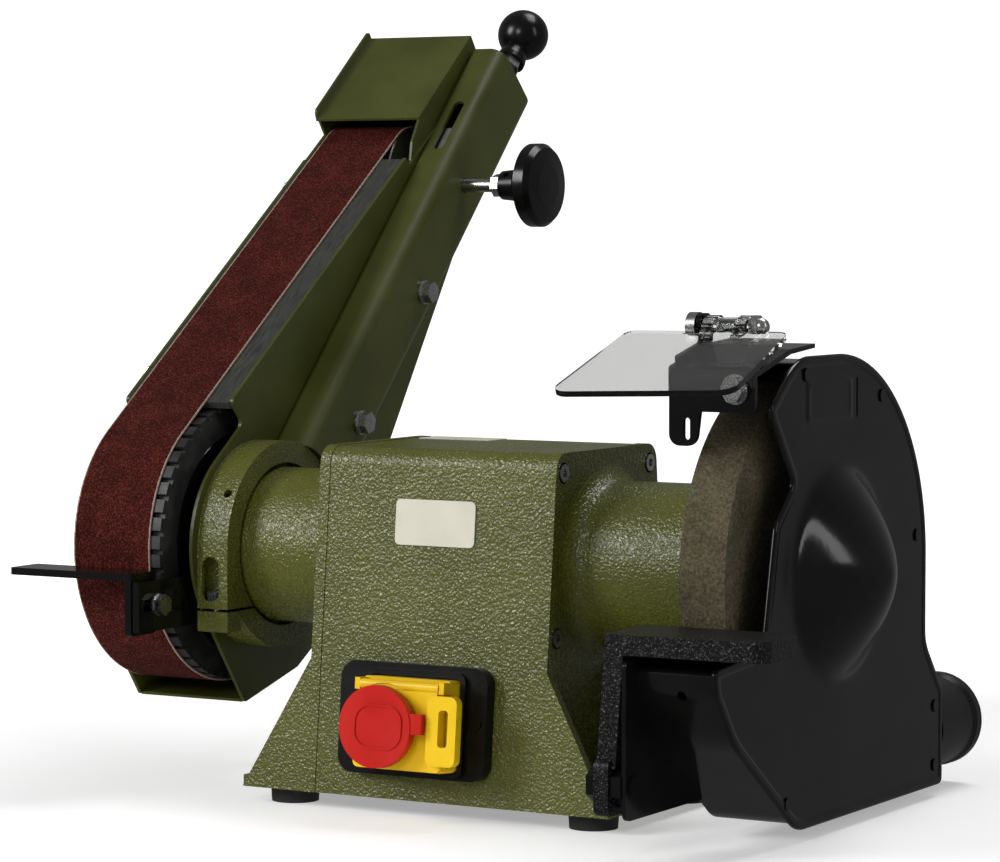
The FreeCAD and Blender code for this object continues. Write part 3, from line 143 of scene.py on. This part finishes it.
def round_sheet(name, profile, material):
    """Stage sheet turned about the upright axis from (radius, height) points."""
    points, faces = [], []
    for radius, height in profile:
        for side in range(SHEET_SIDES):
            angle = math.tau * side / SHEET_SIDES
            points.append((radius * math.cos(angle), radius * math.sin(angle), height))
    for row in range(len(profile) - 1):
        for side in range(SHEET_SIDES):
            here = row * SHEET_SIDES + side
            after = row * SHEET_SIDES + (side + 1) % SHEET_SIDES
            faces.append((here, here + SHEET_SIDES, after + SHEET_SIDES, after))
    mesh = bpy.data.meshes.new(name)
    mesh.from_pydata(points, [], faces)
    mesh.materials.append(material)
    sheet = bpy.data.objects.new(name, mesh)
    bpy.context.scene.collection.objects.link(sheet)
    sheet.visible_glossy = False
    return sheet


laminate = bench_top()
bench = round_sheet("bench", [(0.001, 0.0), (BENCH_RADIUS, 0.0)], laminate)
wall_profile = [(BENCH_RADIUS, 0.0), (BACKDROP_FLOOR, 0.0)]
for step in range(1, CURVE_STEPS + 1):
    angle = math.radians(90 * step / CURVE_STEPS)
    wall_profile.append((BACKDROP_FLOOR + BACKDROP_CURVE * math.sin(angle),
                         BACKDROP_CURVE * (1 - math.cos(angle))))
wall_profile.append((BACKDROP_FLOOR + BACKDROP_CURVE, BACKDROP_TOP))
backdrop = round_sheet("backdrop", wall_profile, laminate)
backdrop.visible_diffuse = False

world = bpy.data.worlds.new("room")
world.use_nodes = True
world.node_tree.nodes["Background"].inputs["Color"].default_value = (1.0, 1.0, 1.0, 1)
world.node_tree.nodes["Background"].inputs["Strength"].default_value = 0.17
bpy.context.scene.world = world
bpy.context.scene.view_settings.view_transform = "Standard"


def lamp(name, place, aim, width, height, watts):
    """Rectangular soft lamp that points from its place at an aim."""
    light = bpy.data.lights.new(name, "AREA")
    light.shape = "RECTANGLE"
    light.size = width
    light.size_y = height
    light.energy = watts
    holder = bpy.data.objects.new(name, light)
    holder.location = place
    holder.rotation_euler = (Vector(aim) - Vector(place)).to_track_quat("-Z", "Y").to_euler()
    holder.visible_camera = False
    bpy.context.scene.collection.objects.link(holder)


lamp("key_lamp", (-1.35, -1.55, 1.15), (0, 0, 0.15), 0.75, 0.95, 31)
lamp("front_lamp", (0.15, -2.3, 1.15), (0, 0, 0.15), 0.55, 0.75, 14)
lamp("top_lamp", (0.35, 0.75, 1.9), (0, 0.25, 0.1), 1.2, 0.7, 17)
lamp("right_lamp", (2.1, 0.1, 1.0), (0.1, 0, 0.2), 0.3, 1.2, 5)

CAMERA_PLACE = (0.98375, -1.70185, 0.31360)
CAMERA_TURN = 29.87
CAMERA_RISE = 3.355
LENS_MM = 132.82
camera_data = bpy.data.cameras.new("camera")
camera_data.lens = LENS_MM
camera_data.sensor_width = 36.0
camera_data.clip_end = 50.0
camera = bpy.data.objects.new("camera", camera_data)
camera.location = CAMERA_PLACE
camera.rotation_euler = (math.radians(90 - CAMERA_RISE), 0, math.radians(CAMERA_TURN))
bpy.context.scene.collection.objects.link(camera)
bpy.context.scene.camera = camera


# ---------------------------------------------------------------- Rubber feet
# Four moulded black rubber pads under the end bells' feet, bored for the bench bolts. The mould
# leaves them a fine satin skin that is dusty at the rim.
SHARP_EDGE = math.radians(34)


def shade_group():
    """Node group that shades faces smooth and keeps the sharp edges."""
    group = bpy.data.node_groups.new("soft_shading", "GeometryNodeTree")
    group.interface.new_socket("Geometry", in_out="INPUT", socket_type="NodeSocketGeometry")
    group.interface.new_socket("Geometry", in_out="OUTPUT", socket_type="NodeSocketGeometry")
    start = group.nodes.new("NodeGroupInput")
    end = group.nodes.new("NodeGroupOutput")
    faces = group.nodes.new("GeometryNodeSetShadeSmooth")
    edges = group.nodes.new("GeometryNodeSetShadeSmooth")
    edges.domain = "EDGE"
    edges.inputs["Shade Smooth"].default_value = False
    angle = group.nodes.new("GeometryNodeInputMeshEdgeAngle")
    compare = group.nodes.new("FunctionNodeCompare")
    compare.inputs[1].default_value = SHARP_EDGE
    group.links.new(start.outputs[0], faces.inputs["Geometry"])
    group.links.new(faces.outputs[0], edges.inputs["Geometry"])
    group.links.new(angle.outputs["Unsigned Angle"], compare.inputs[0])
    group.links.new(compare.outputs[0], edges.inputs["Selection"])
    group.links.new(edges.outputs[0], end.inputs[0])
    return group


soft_shading = shade_group()


def soften(piece, edge_mm):
    """Breaks a piece's sharp edges by edge_mm and shades its round faces smooth."""
    if edge_mm > 0:
        merge = piece.modifiers.new("flat_faces", "DECIMATE")
        merge.decimate_type = "DISSOLVE"
        merge.angle_limit = math.radians(0.6)
        edge = piece.modifiers.new("broken_edge", "BEVEL")
        edge.width = edge_mm / 1000.0
        edge.segments = 2
        edge.limit_method = "ANGLE"
        edge.angle_limit = SHARP_EDGE
    shading = piece.modifiers.new("shading", "NODES")
    shading.node_group = soft_shading


def dress(name, material, edge_mm=0.4):
    """Gives a part of the frame its finish and breaks its edges."""
    part = nodes[name]
    if not part.material_slots:
        part.data.materials.append(material)
    for place in part.material_slots:
        place.material = material
    soften(part, edge_mm)


def moulded_rubber(name, colour, roughness):
    """Black rubber with a fine skin and a dusty bloom."""
    material, tree, shader = finish(name, colour, roughness)
    skin = grain(tree, "Noise", 0.9, detail=4.0)
    dust = grain(tree, "Noise", 14.0, detail=5.0)
    pale = tuple(c * 2.2 + 0.006 for c in colour)
    tint(tree, shader, dust.outputs["Fac"], [(0.42, colour), (0.75, pale)])
    dull(tree, shader, dust.outputs["Fac"], roughness - 0.1, roughness + 0.15)
    emboss(tree, shader, [(skin.outputs["Fac"], 0.06)])
    return material


dress("rubber_feet", moulded_rubber("foot_rubber", (0.012, 0.012, 0.012), 0.6), 0.8)


# ---------------------------------------------------------------- Motor works
# Varnished laminations and copper end turns in the body, and a turned steel shaft with an
# aluminium cage rotor and a plastic fan. They only show through the cooling slots below.
def bright_metal(name, colour, roughness, line_mm=0.5, stretch=(1, 1, 1)):
    """Turned or plated metal with fine tool lines and soft staining."""
    material, tree, shader = finish(name, colour, roughness, metallic=1.0)
    lines = grain(tree, "Noise", line_mm, stretch=stretch, detail=3.0)
    stain = grain(tree, "Noise", 9.0, detail=4.0)
    dark = tuple(c * 0.72 for c in colour)
    tint(tree, shader, stain.outputs["Fac"], [(0.3, dark), (0.62, colour)])
    dull(tree, shader, lines.outputs["Fac"], roughness - 0.08, roughness + 0.14)
    emboss(tree, shader, [(lines.outputs["Fac"], 0.012)])
    return material


def laminations():
    """Stacked sheet steel edges under brown varnish."""
    material, tree, shader = finish("laminations", (0.16, 0.15, 0.14), 0.45, metallic=0.8)
    sheets = grain(tree, "Wave", 3.2, bands_direction="X", distortion=0.3)
    tint(tree, shader, sheets.outputs["Fac"], [(0.0, (0.08, 0.07, 0.06)), (1.0, (0.24, 0.22, 0.2))])
    emboss(tree, shader, [(sheets.outputs["Fac"], 0.1)])
    return material


def copper_turns():
    """Bundled enamelled copper wire."""
    material, tree, shader = finish("copper_turns", (0.5, 0.2, 0.07), 0.3, metallic=0.9)
    wires = grain(tree, "Wave", 5.0, bands_direction="X", distortion=2.0)
    tint(tree, shader, wires.outputs["Fac"], [(0.0, (0.2, 0.07, 0.02)), (1.0, (0.6, 0.26, 0.1))])
    emboss(tree, shader, [(wires.outputs["Fac"], 0.3)])
    return material


def moulded_plastic(name, colour, roughness):
    """Injection-moulded plastic with a fine skin and slight shade changes."""
    material, tree, shader = finish(name, colour, roughness, specular=0.28)
    skin = grain(tree, "Noise", 0.7, detail=3.0)
    shade = grain(tree, "Noise", 22.0, detail=3.0)
    low = tuple(c * 0.9 for c in colour)
    tint(tree, shader, shade.outputs["Fac"], [(0.3, low), (0.7, colour)])
    dull(tree, shader, shade.outputs["Fac"], roughness - 0.04, roughness + 0.07)
    emboss(tree, shader, [(skin.outputs["Fac"], 0.02)])
    return material


turned_steel = bright_metal("turned_steel", (0.52, 0.52, 0.53), 0.28, stretch=(3, 0.4, 0.4))
black_plastic = moulded_plastic("black_plastic", (0.004, 0.004, 0.004), 0.3)
grey_plastic = moulded_plastic("grey_plastic", (0.3, 0.3, 0.29), 0.5)
lamination_steel = laminations()
dress("stator_core", lamination_steel, 0)
dress("rotor_core", lamination_steel, 0)
dress("stator_windings", copper_turns(), 0)
dress("run_capacitor", grey_plastic, 0.5)
dress("cooling_fan", black_plastic, 0)
dress("rotor_shaft", turned_steel, 0.3)
dress("shaft_bearings", turned_steel, 0.4)


# ---------------------------------------------------------------- End bells and motor shell
# Two iron castings with splayed feet and long nose tubes, and a folded sheet between them. All
# are sprayed with olive green hammertone enamel, which dries into small glossy pebbles.
def hammertone(name, deep, light, pebble_mm, depth_mm, roughness):
    """Hammertone enamel: rounded pebbles with thin colour in the dips."""
    material, tree, shader = finish(name, light, roughness, specular=0.55)
    pebbles = grain(tree, "Voronoi", pebble_mm, feature="SMOOTH_F1", smoothness=0.6)
    waves = grain(tree, "Noise", pebble_mm * 1.3, detail=1.5, distortion=0.8)
    drift = grain(tree, "Noise", 55.0, detail=3.0)
    blend = tree.nodes.new("ShaderNodeMix")
    tree.links.new(waves.outputs["Fac"], blend.inputs["A"])
    tree.links.new(drift.outputs["Fac"], blend.inputs["B"])
    blend.inputs["Factor"].default_value = 0.5
    tint(tree, shader, blend.outputs["Result"], [(0.38, deep), (0.62, light)])
    dull(tree, shader, waves.outputs["Fac"], roughness + 0.1, roughness - 0.05, 0.35, 0.65)
    emboss(tree, shader, [(pebbles.outputs["Distance"], -depth_mm),
                          (waves.outputs["Fac"], depth_mm * 1.4)])
    return material


body_green = hammertone("body_green", (0.062, 0.067, 0.008), (0.094, 0.100, 0.0145), 1.5, 0.40, 0.26)
for name in ("left_end_bell", "right_end_bell"):
    dress(name, body_green, 1.2)
dress("motor_shell", body_green, 0.6)


# ---------------------------------------------------------------- Base plate
# Black painted sheet with cooling slots that closes the body below.
def gloss_enamel(name, colour, roughness):
    """Sprayed black enamel: slight orange peel and a few dull patches."""
    material, tree, shader = finish(name, colour, roughness, specular=0.3)
    peel = grain(tree, "Noise", 3.5, detail=2.0)
    patches = grain(tree, "Noise", 40.0, detail=5.0)
    haze = tuple(c * 1.5 + 0.001 for c in colour)
    tint(tree, shader, patches.outputs["Fac"], [(0.4, colour), (0.75, haze)])
    dull(tree, shader, patches.outputs["Fac"], roughness - 0.03, roughness + 0.06, 0.35, 0.7)
    emboss(tree, shader, [(peel.outputs["Fac"], 0.03)])
    return material


black_enamel = gloss_enamel("black_enamel", (0.003, 0.003, 0.0028), 0.11)
dress("base_plate", black_enamel, 0.3)


# ---------------------------------------------------------------- Body screws, badge and gland
# Zinc-plated cap screws sunk in the end bells, a blank foil badge on the front panel and a nylon
# cable gland low on the back.
zinc = bright_metal("zinc", (0.50, 0.51, 0.50), 0.24, line_mm=0.8)
dress("body_screws", zinc, 0.3)
badge_foil = moulded_plastic("badge_foil", (0.62, 0.60, 0.50), 0.35)
dress("badge", badge_foil, 0.2)
dress("top_label", badge_foil, 0)
dress("cable_gland", black_plastic, 0.5)


# ---------------------------------------------------------------- Switch
# Moulded safety switch: black plate, yellow housing and hinged lid, red paddle over the stop
# button, and a green start button under the lid.
yellow = moulded_plastic("yellow_plastic", (0.85, 0.55, 0.010), 0.3)
red = moulded_plastic("red_plastic", (0.50, 0.008, 0.004), 0.32)
dress("switch_plate", black_plastic, 0.8)
dress("switch_box", yellow, 0.6)
dress("switch_lid", yellow, 0.5)
dress("stop_paddle", red, 0.8)
dress("stop_button", red, 0.5)
dress("start_button", moulded_plastic("green_plastic", (0.02, 0.3, 0.08), 0.3), 0.5)


# ---------------------------------------------------------------- Grinding wheel
# Grey-brown vitrified grit pressed and fired, between two pressed steel flanges and a nut.
def vitrified_grit():
    """Bonded abrasive: packed grains with open pores."""
    material, tree, shader = finish("vitrified_grit", (0.08, 0.065, 0.038), 0.92, specular=0.2)
    grains = grain(tree, "Voronoi", 1.1)
    speckle = grain(tree, "Noise", 1.6, detail=4.0, roughness=0.7)
    cloud = grain(tree, "Noise", 25.0, detail=3.0)
    blend = tree.nodes.new("ShaderNodeMix")
    blend.inputs["Factor"].default_value = 0.3
    tree.links.new(speckle.outputs["Fac"], blend.inputs["A"])
    tree.links.new(cloud.outputs["Fac"], blend.inputs["B"])
    tint(tree, shader, blend.outputs["Result"],
         [(0.34, (0.030, 0.024, 0.013)), (0.5, (0.072, 0.060, 0.034)),
          (0.66, (0.145, 0.125, 0.082))])
    emboss(tree, shader, [(grains.outputs["Distance"], -0.25), (speckle.outputs["Fac"], 0.3)])
    return material


dress("grinding_wheel", vitrified_grit(), 1.2)
dress("wheel_flanges", turned_steel, 0.3)
dress("shaft_nuts", zinc, 0.5)


# ---------------------------------------------------------------- Wheel guard
# Pressed steel box and cover in gloss black enamel, with a plastic dust outlet at the back.
dress("guard_shell", black_enamel, 0.5)
dress("guard_screws", black_enamel, 0.3)


def rounded(corners, step):
    """Closed outline through (a, b, radius) corners, its points at most a step apart."""
    arcs = []
    for i, corner in enumerate(corners):
        here = Vector(corner[:2])
        back = (Vector(corners[i - 1][:2]) - here).normalized()
        onward = (Vector(corners[(i + 1) % len(corners)][:2]) - here).normalized()
        radius = corner[2] if len(corner) > 2 else 0.0
        half = back.angle(onward) / 2
        start = here + back * (radius / math.tan(half))
        end = here + onward * (radius / math.tan(half))
        pieces = max(1, math.ceil(radius * (math.pi - 2 * half) / step))
        centre = here + (back + onward).normalized() * (radius / math.sin(half))
        arc = []
        for k in range(pieces + 1):
            chord = start.lerp(end, k / pieces) - centre
            if radius and k not in (0, pieces):
                sweep = (math.pi - 2 * half) * (k / pieces)
                turn = math.copysign(sweep, (start - centre).cross(end - centre))
                chord = Matrix.Rotation(turn, 2) @ (start - centre)
            arc.append(centre + chord)
        arcs.append(arc if radius else [here])
    points = []
    for i, arc in enumerate(arcs):
        points.extend(arc)
        gap = arcs[(i + 1) % len(arcs)][0] - arc[-1]
        pieces = math.ceil(gap.length / step)
        points.extend(arc[-1] + gap * (k / pieces) for k in range(1, pieces))
    return np.array([tuple(point) for point in points])


def distance_in(points, outline):
    """Distance of each point inside a closed outline, negative outside."""
    start = outline
    along = np.roll(outline, -1, axis=0) - outline
    length = (along ** 2).sum(1)
    nearest = np.full(len(points), 1e9)
    inside = np.zeros(len(points), bool)
    for (a, b), (u, v), square in zip(start, along, length):
        y, z = points[:, 0] - a, points[:, 1] - b
        t = np.clip((y * u + z * v) / square, 0, 1)
        nearest = np.minimum(nearest, np.hypot(y - t * u, z - t * v))
        crosses = (b > points[:, 1]) != (b + v > points[:, 1])
        if v:
            inside ^= crosses & (points[:, 0] < a + u * (points[:, 1] - b) / v)
    return np.where(inside, nearest, -nearest)


def smooth_step(value, low, high):
    """Rises smoothly from 0 at low to 1 at high."""
    t = np.clip((value - low) / (high - low), 0, 1)
    return t * t * (3 - 2 * t)


COVER_CORNERS = [
    (-48.0, 6.6, 30), (134.7, 6.6, 4), (134.7, 58.2, 8), (111.2, 86.2, 18), (111.2, 243.4, 111.2),
    (-50.0, 243.4, 45), (-82.0, 218.2, 6), (-53.4, 180.7, 5), (-74.0, 162.2, 12), (-87.0, 101.7, 3),
    (-141.0, 97.7, 4), (-139.0, 84.2, 12), (-119.0, 57.2, 60),
]
COVER_FACE = 205.0
COVER_SHEET = 2.2
COVER_EDGE = 1.7
BULGE_CENTRE = (0.0, 132.2)
BULGE_RISE = 30.0
BULGE_RADIUS = 54.5
BULGE_BLEND = 0.07
BULGE_POWER = 1.55
RIM_STEP_START = 4.0
RIM_STEP_END = 5.4
RIM_STEP_DROP = 0.5
FRAME_Y = (-38.7, 14.0)
FRAME_Z = (211.0, 230.5)
SLOT_Y = (20.2, 22.0)
SLOT_Z = (211.2, 230.2)
SLOT_DEPTH = 1.9
GRID_STEP = 1.6
GRID_INSET = 7.0
RIM_RINGS = (0.15, 0.5, 1.0, 1.7, 2.8, 4.0, 4.4, 4.9, 5.4, 6.2)


def box_depth(y, z, y_range, z_range):
    """Distance inside a rectangle, negative outside."""
    along = np.minimum(y - y_range[0], y_range[1] - y)
    up = np.minimum(z - z_range[0], z_range[1] - z)
    return np.minimum(along, up)


def cover_height(points, depth):
    """Rise of the cover's face at (y, z) points that lie a depth in from its edge."""
    y, z = points[:, 0], points[:, 1]
    curl = np.clip(COVER_EDGE - depth, 0, COVER_EDGE)
    rise = -(COVER_EDGE - np.sqrt(np.maximum(COVER_EDGE ** 2 - curl ** 2, 0)))
    rise -= RIM_STEP_DROP * smooth_step(depth, RIM_STEP_START, RIM_STEP_END)
    radius = np.hypot(y - BULGE_CENTRE[0], z - BULGE_CENTRE[1])
    dome = 1 - (radius / BULGE_RADIUS) ** BULGE_POWER
    blended = 0.498 * (dome + np.sqrt(dome ** 2 + BULGE_BLEND ** 2))
    rise += BULGE_RISE * blended * (1 - smooth_step(radius, 58.0, 76.0))
    frame_depth = box_depth(y, z, FRAME_Y, FRAME_Z)
    rise += 0.7 * smooth_step(frame_depth, -0.8, 0.8) - 0.35 * smooth_step(frame_depth, 1.6, 3.2)
    return rise - SLOT_DEPTH * smooth_step(box_depth(y, z, SLOT_Y, SLOT_Z), -0.25, 0.25)


def point_grid(y_range, z_range, y_step, z_step):
    """Even grid of (y, z) points over a rectangle."""
    along, up = np.meshgrid(np.arange(*y_range, y_step), np.arange(*z_range, z_step))
    return np.stack((along, up), -1).reshape(-1, 2)


def pressed_cover():
    """Front and back skins of the cover, joined round the edge."""
    outline = rounded(COVER_CORNERS, 1.5)
    low, high = outline.min(0), outline.max(0)
    grid = point_grid((low[0], high[0]), (low[1], high[1]), GRID_STEP, GRID_STEP)
    grid = grid[distance_in(grid, outline) > GRID_INSET]
    fine = point_grid((19.4, 23.0), (210.2, 231.3), 0.3, 0.9)
    edge_way = np.roll(outline, -1, axis=0) - np.roll(outline, 1, axis=0)
    inward = np.stack([-edge_way[:, 1], edge_way[:, 0]], 1)
    inward /= np.linalg.norm(edge_way, axis=1)[:, None]
    rings = []
    for inset in RIM_RINGS:
        ring = outline + inward * inset
        rings.append(ring[distance_in(ring, outline) > inset * 0.9])
    cloud = np.concatenate([outline, *rings, grid, fine])
    loop = [list(range(len(outline)))]
    spots = [Vector(point) for point in cloud.tolist()]
    found = delaunay_2d_cdt(spots, [], loop, 1, 1e-5, False)
    flat = np.array([tuple(point) for point in found[0]])
    rise = cover_height(flat, np.maximum(distance_in(flat, outline), 0))
    count = len(flat)
    front = np.column_stack([COVER_FACE + rise, flat])
    back = np.column_stack([np.maximum(COVER_FACE + rise, COVER_FACE) - COVER_SHEET, flat])
    middles = np.array([flat[list(face)].mean(0) for face in found[2]])
    depths = distance_in(middles, outline)
    kept = [tuple(face) for face, depth in zip(found[2], depths) if depth > 0]
    used = dict.fromkeys(pair for face in kept for pair in zip(face, face[1:] + face[:1]))
    rim = [(a, b) for a, b in used if (b, a) not in used]
    faces = kept + [tuple(count + i for i in reversed(face)) for face in kept]
    faces += [(b, a, count + a, count + b) for a, b in rim]
    mesh = bpy.data.meshes.new("guard_cover_pressing")
    mesh.from_pydata((np.concatenate([front, back]) / 1000.0).tolist(), [], faces)
    return mesh


cover_mesh = pressed_cover()
cover_mesh.materials.append(black_enamel)
cover = bpy.data.objects.new("guard_cover_pressing", cover_mesh)
bpy.context.scene.collection.objects.link(cover)
soften(cover, 0)
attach(cover, "root")
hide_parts("guard_cover")
dress("exhaust_port", black_plastic, 0.6)


# ---------------------------------------------------------------- Right work rest
# Iron casting in black hammertone with silver flecks, clamped to the guard by one bolt.
def hammer_black():
    """Black hammertone with bright flecks in the film."""
    material, tree, shader = finish("hammer_black", (0.003, 0.003, 0.003), 0.3, specular=0.22)
    pebbles = grain(tree, "Voronoi", 1.5, feature="SMOOTH_F1", smoothness=0.8)
    flecks = grain(tree, "Noise", 0.9, detail=2.0)
    tint(tree, shader, flecks.outputs["Fac"],
         [(0.5, (0.004, 0.004, 0.004)), (0.62, (0.012, 0.012, 0.012)), (0.72, (0.11, 0.11, 0.11))])
    dull(tree, shader, flecks.outputs["Fac"], 0.28, 0.5)
    emboss(tree, shader, [(pebbles.outputs["Distance"], -0.3), (flecks.outputs["Fac"], 0.1)])
    return material


dress("right_work_rest", hammer_black(), 1.0)


# ---------------------------------------------------------------- Spark arrestor and eye shield
# Folded black sheet bolted over the wheel, and a clear acrylic shield that tilts on a screw.
def clear_acrylic():
    """Polished acrylic sheet with faint wiping marks."""
    material, tree, shader = finish("clear_acrylic", (0.66, 0.665, 0.65), 0.02)
    shader.inputs["Transmission Weight"].default_value = 1.0
    shader.inputs["IOR"].default_value = 1.49
    marks = grain(tree, "Noise", 30.0, stretch=(0.4, 2, 2), detail=6.0)
    dull(tree, shader, marks.outputs["Fac"], 0.01, 0.07, 0.4, 0.75)
    return material


dress("spark_arrestor", black_enamel, 0.3)
dress("shield_arm", black_enamel, 0.3)
dress("eye_shield", clear_acrylic(), 0.3)
dress("shield_fasteners", zinc, 0.4)


# ---------------------------------------------------------------- Contact wheel
# Turned aluminium wheel painted black inside, with a serrated rubber tyre bonded on.
dress("contact_wheel_hub", black_enamel, 0.3)
dress("contact_wheel_tyre", moulded_rubber("tyre_rubber", (0.012, 0.012, 0.012), 0.5), 0.3)


# ---------------------------------------------------------------- Arm
# Cast clamp ring in hammertone; folded sheet housing and square tube in smooth olive enamel.
def powder_coat(name, deep, light):
    """Smooth powder coat with a fine orange peel."""
    material, tree, shader = finish(name, light, 0.4, specular=0.35)
    peel = grain(tree, "Noise", 1.3, detail=2.0)
    drift = grain(tree, "Noise", 45.0, detail=4.0)
    tint(tree, shader, drift.outputs["Fac"], [(0.35, deep), (0.65, light)])
    dull(tree, shader, drift.outputs["Fac"], 0.32, 0.46, 0.35, 0.65)
    emboss(tree, shader, [(peel.outputs["Fac"], 0.05)])
    return material


arm_green = powder_coat("arm_green", (0.040, 0.046, 0.0065), (0.056, 0.063, 0.010))
for name in ("clamp_ring", "clamp_cap"):
    dress(name, body_green, 0.8)
for name in ("arm_beam", "beam_end_cap", "inner_side_plate", "outer_side_plate", "back_cover",
             "top_cap"):
    dress(name, arm_green, 0.4)
dress("clamp_bolts", zinc, 0.4)
dress("arm_fasteners", zinc, 0.4)


# ---------------------------------------------------------------- Platen and belt
# Ground steel platen with a graphite face, and a resin-bonded aluminium oxide cloth belt.
def graphite():
    """Dark satin graphite rubbed along the belt's run."""
    material, tree, shader = finish("graphite", (0.03, 0.032, 0.028), 0.5, specular=0.3)
    rub = grain(tree, "Noise", 2.0, stretch=(3, 0.2, 0.2), detail=5.0)
    tint(tree, shader, rub.outputs["Fac"], [(0.3, (0.018, 0.019, 0.017)), (0.7, (0.05, 0.053, 0.045))])
    dull(tree, shader, rub.outputs["Fac"], 0.34, 0.55)
    emboss(tree, shader, [(rub.outputs["Fac"], 0.03)])
    return material


BELT_MIDDLE_X = -0.192
BELT_HALF_WIDTH = 0.0246
THREAD_DEPTH = 0.0012


def abrasive_cloth():
    """Red-brown grit bonded on cloth, with pale threads along both edges."""
    material, tree, shader = finish("abrasive_cloth", (0.045, 0.007, 0.0055), 0.9, specular=0.08)
    grit = grain(tree, "Voronoi", 0.7)
    speckle = grain(tree, "Noise", 1.0, detail=2.0)
    cloud = grain(tree, "Noise", 14.0, detail=4.0)
    blend = tree.nodes.new("ShaderNodeMix")
    blend.inputs["Factor"].default_value = 0.22
    tree.links.new(speckle.outputs["Fac"], blend.inputs["A"])
    tree.links.new(cloud.outputs["Fac"], blend.inputs["B"])
    ramp = tint(tree, shader, blend.outputs["Result"],
                [(0.36, (0.016, 0.0028, 0.002)), (0.5, (0.040, 0.006, 0.0045)),
                 (0.66, (0.115, 0.022, 0.015))])
    place = tree.nodes.new("ShaderNodeTexCoord")
    split = tree.nodes.new("ShaderNodeSeparateXYZ")
    tree.links.new(place.outputs["Object"], split.inputs["Vector"])
    across = tree.nodes.new("ShaderNodeMath")
    across.operation = "SUBTRACT"
    across.inputs[1].default_value = BELT_MIDDLE_X
    tree.links.new(split.outputs["X"], across.inputs[0])
    from_middle = tree.nodes.new("ShaderNodeMath")
    from_middle.operation = "ABSOLUTE"
    tree.links.new(across.outputs[0], from_middle.inputs[0])
    threads = grain(tree, "Noise", 1.2, detail=2.0)
    ragged = tree.nodes.new("ShaderNodeMath")
    ragged.operation = "MULTIPLY_ADD"
    ragged.inputs[1].default_value = THREAD_DEPTH
    tree.links.new(threads.outputs["Fac"], ragged.inputs[0])
    tree.links.new(from_middle.outputs[0], ragged.inputs[2])
    fringe = tree.nodes.new("ShaderNodeMix")
    fringe.data_type = "RGBA"
    fringe.inputs[7].default_value = (0.34, 0.25, 0.20, 1)
    edge = BELT_HALF_WIDTH + THREAD_DEPTH / 2
    spread(tree, ragged.outputs[0], 0.0, 1.0, fringe.inputs[0], edge - 0.0004, edge)
    tree.links.new(ramp.outputs["Color"], fringe.inputs[6])
    tree.links.new(fringe.outputs[2], shader.inputs["Base Color"])
    emboss(tree, shader, [(grit.outputs["Distance"], -0.14), (speckle.outputs["Fac"], 0.16)])
    return material


dress("platen", graphite(), 0.4)
dress("sanding_belt", abrasive_cloth(), 0)


# ---------------------------------------------------------------- Idler, tension and tracking
# Aluminium idler on a steel axle, pushed out by a spring; phenolic knobs for tension and tracking.
phenolic = moulded_plastic("phenolic", (0.003, 0.003, 0.003), 0.22)
dress("idler_wheel", bright_metal("turned_alloy", (0.7, 0.7, 0.71), 0.3), 0.4)
for name in ("idler_bearings", "idler_axle", "tension_carriage"):
    dress(name, turned_steel, 0.3)
dress("tension_spring", turned_steel, 0)
dress("tension_rod", zinc, 0.4)
dress("tracking_screw", zinc, 0.3)
dress("ball_knob", phenolic, 0)
dress("tracking_knob", phenolic, 0.6)


# ---------------------------------------------------------------- Left work rest
# Folded steel plate in gloss black, clamped to a flat bar beside the belt.
dress("left_rest_support", black_enamel, 0.4)
dress("left_work_rest", black_enamel, 0.4)
dress("left_rest_bolt", zinc, 0.4)
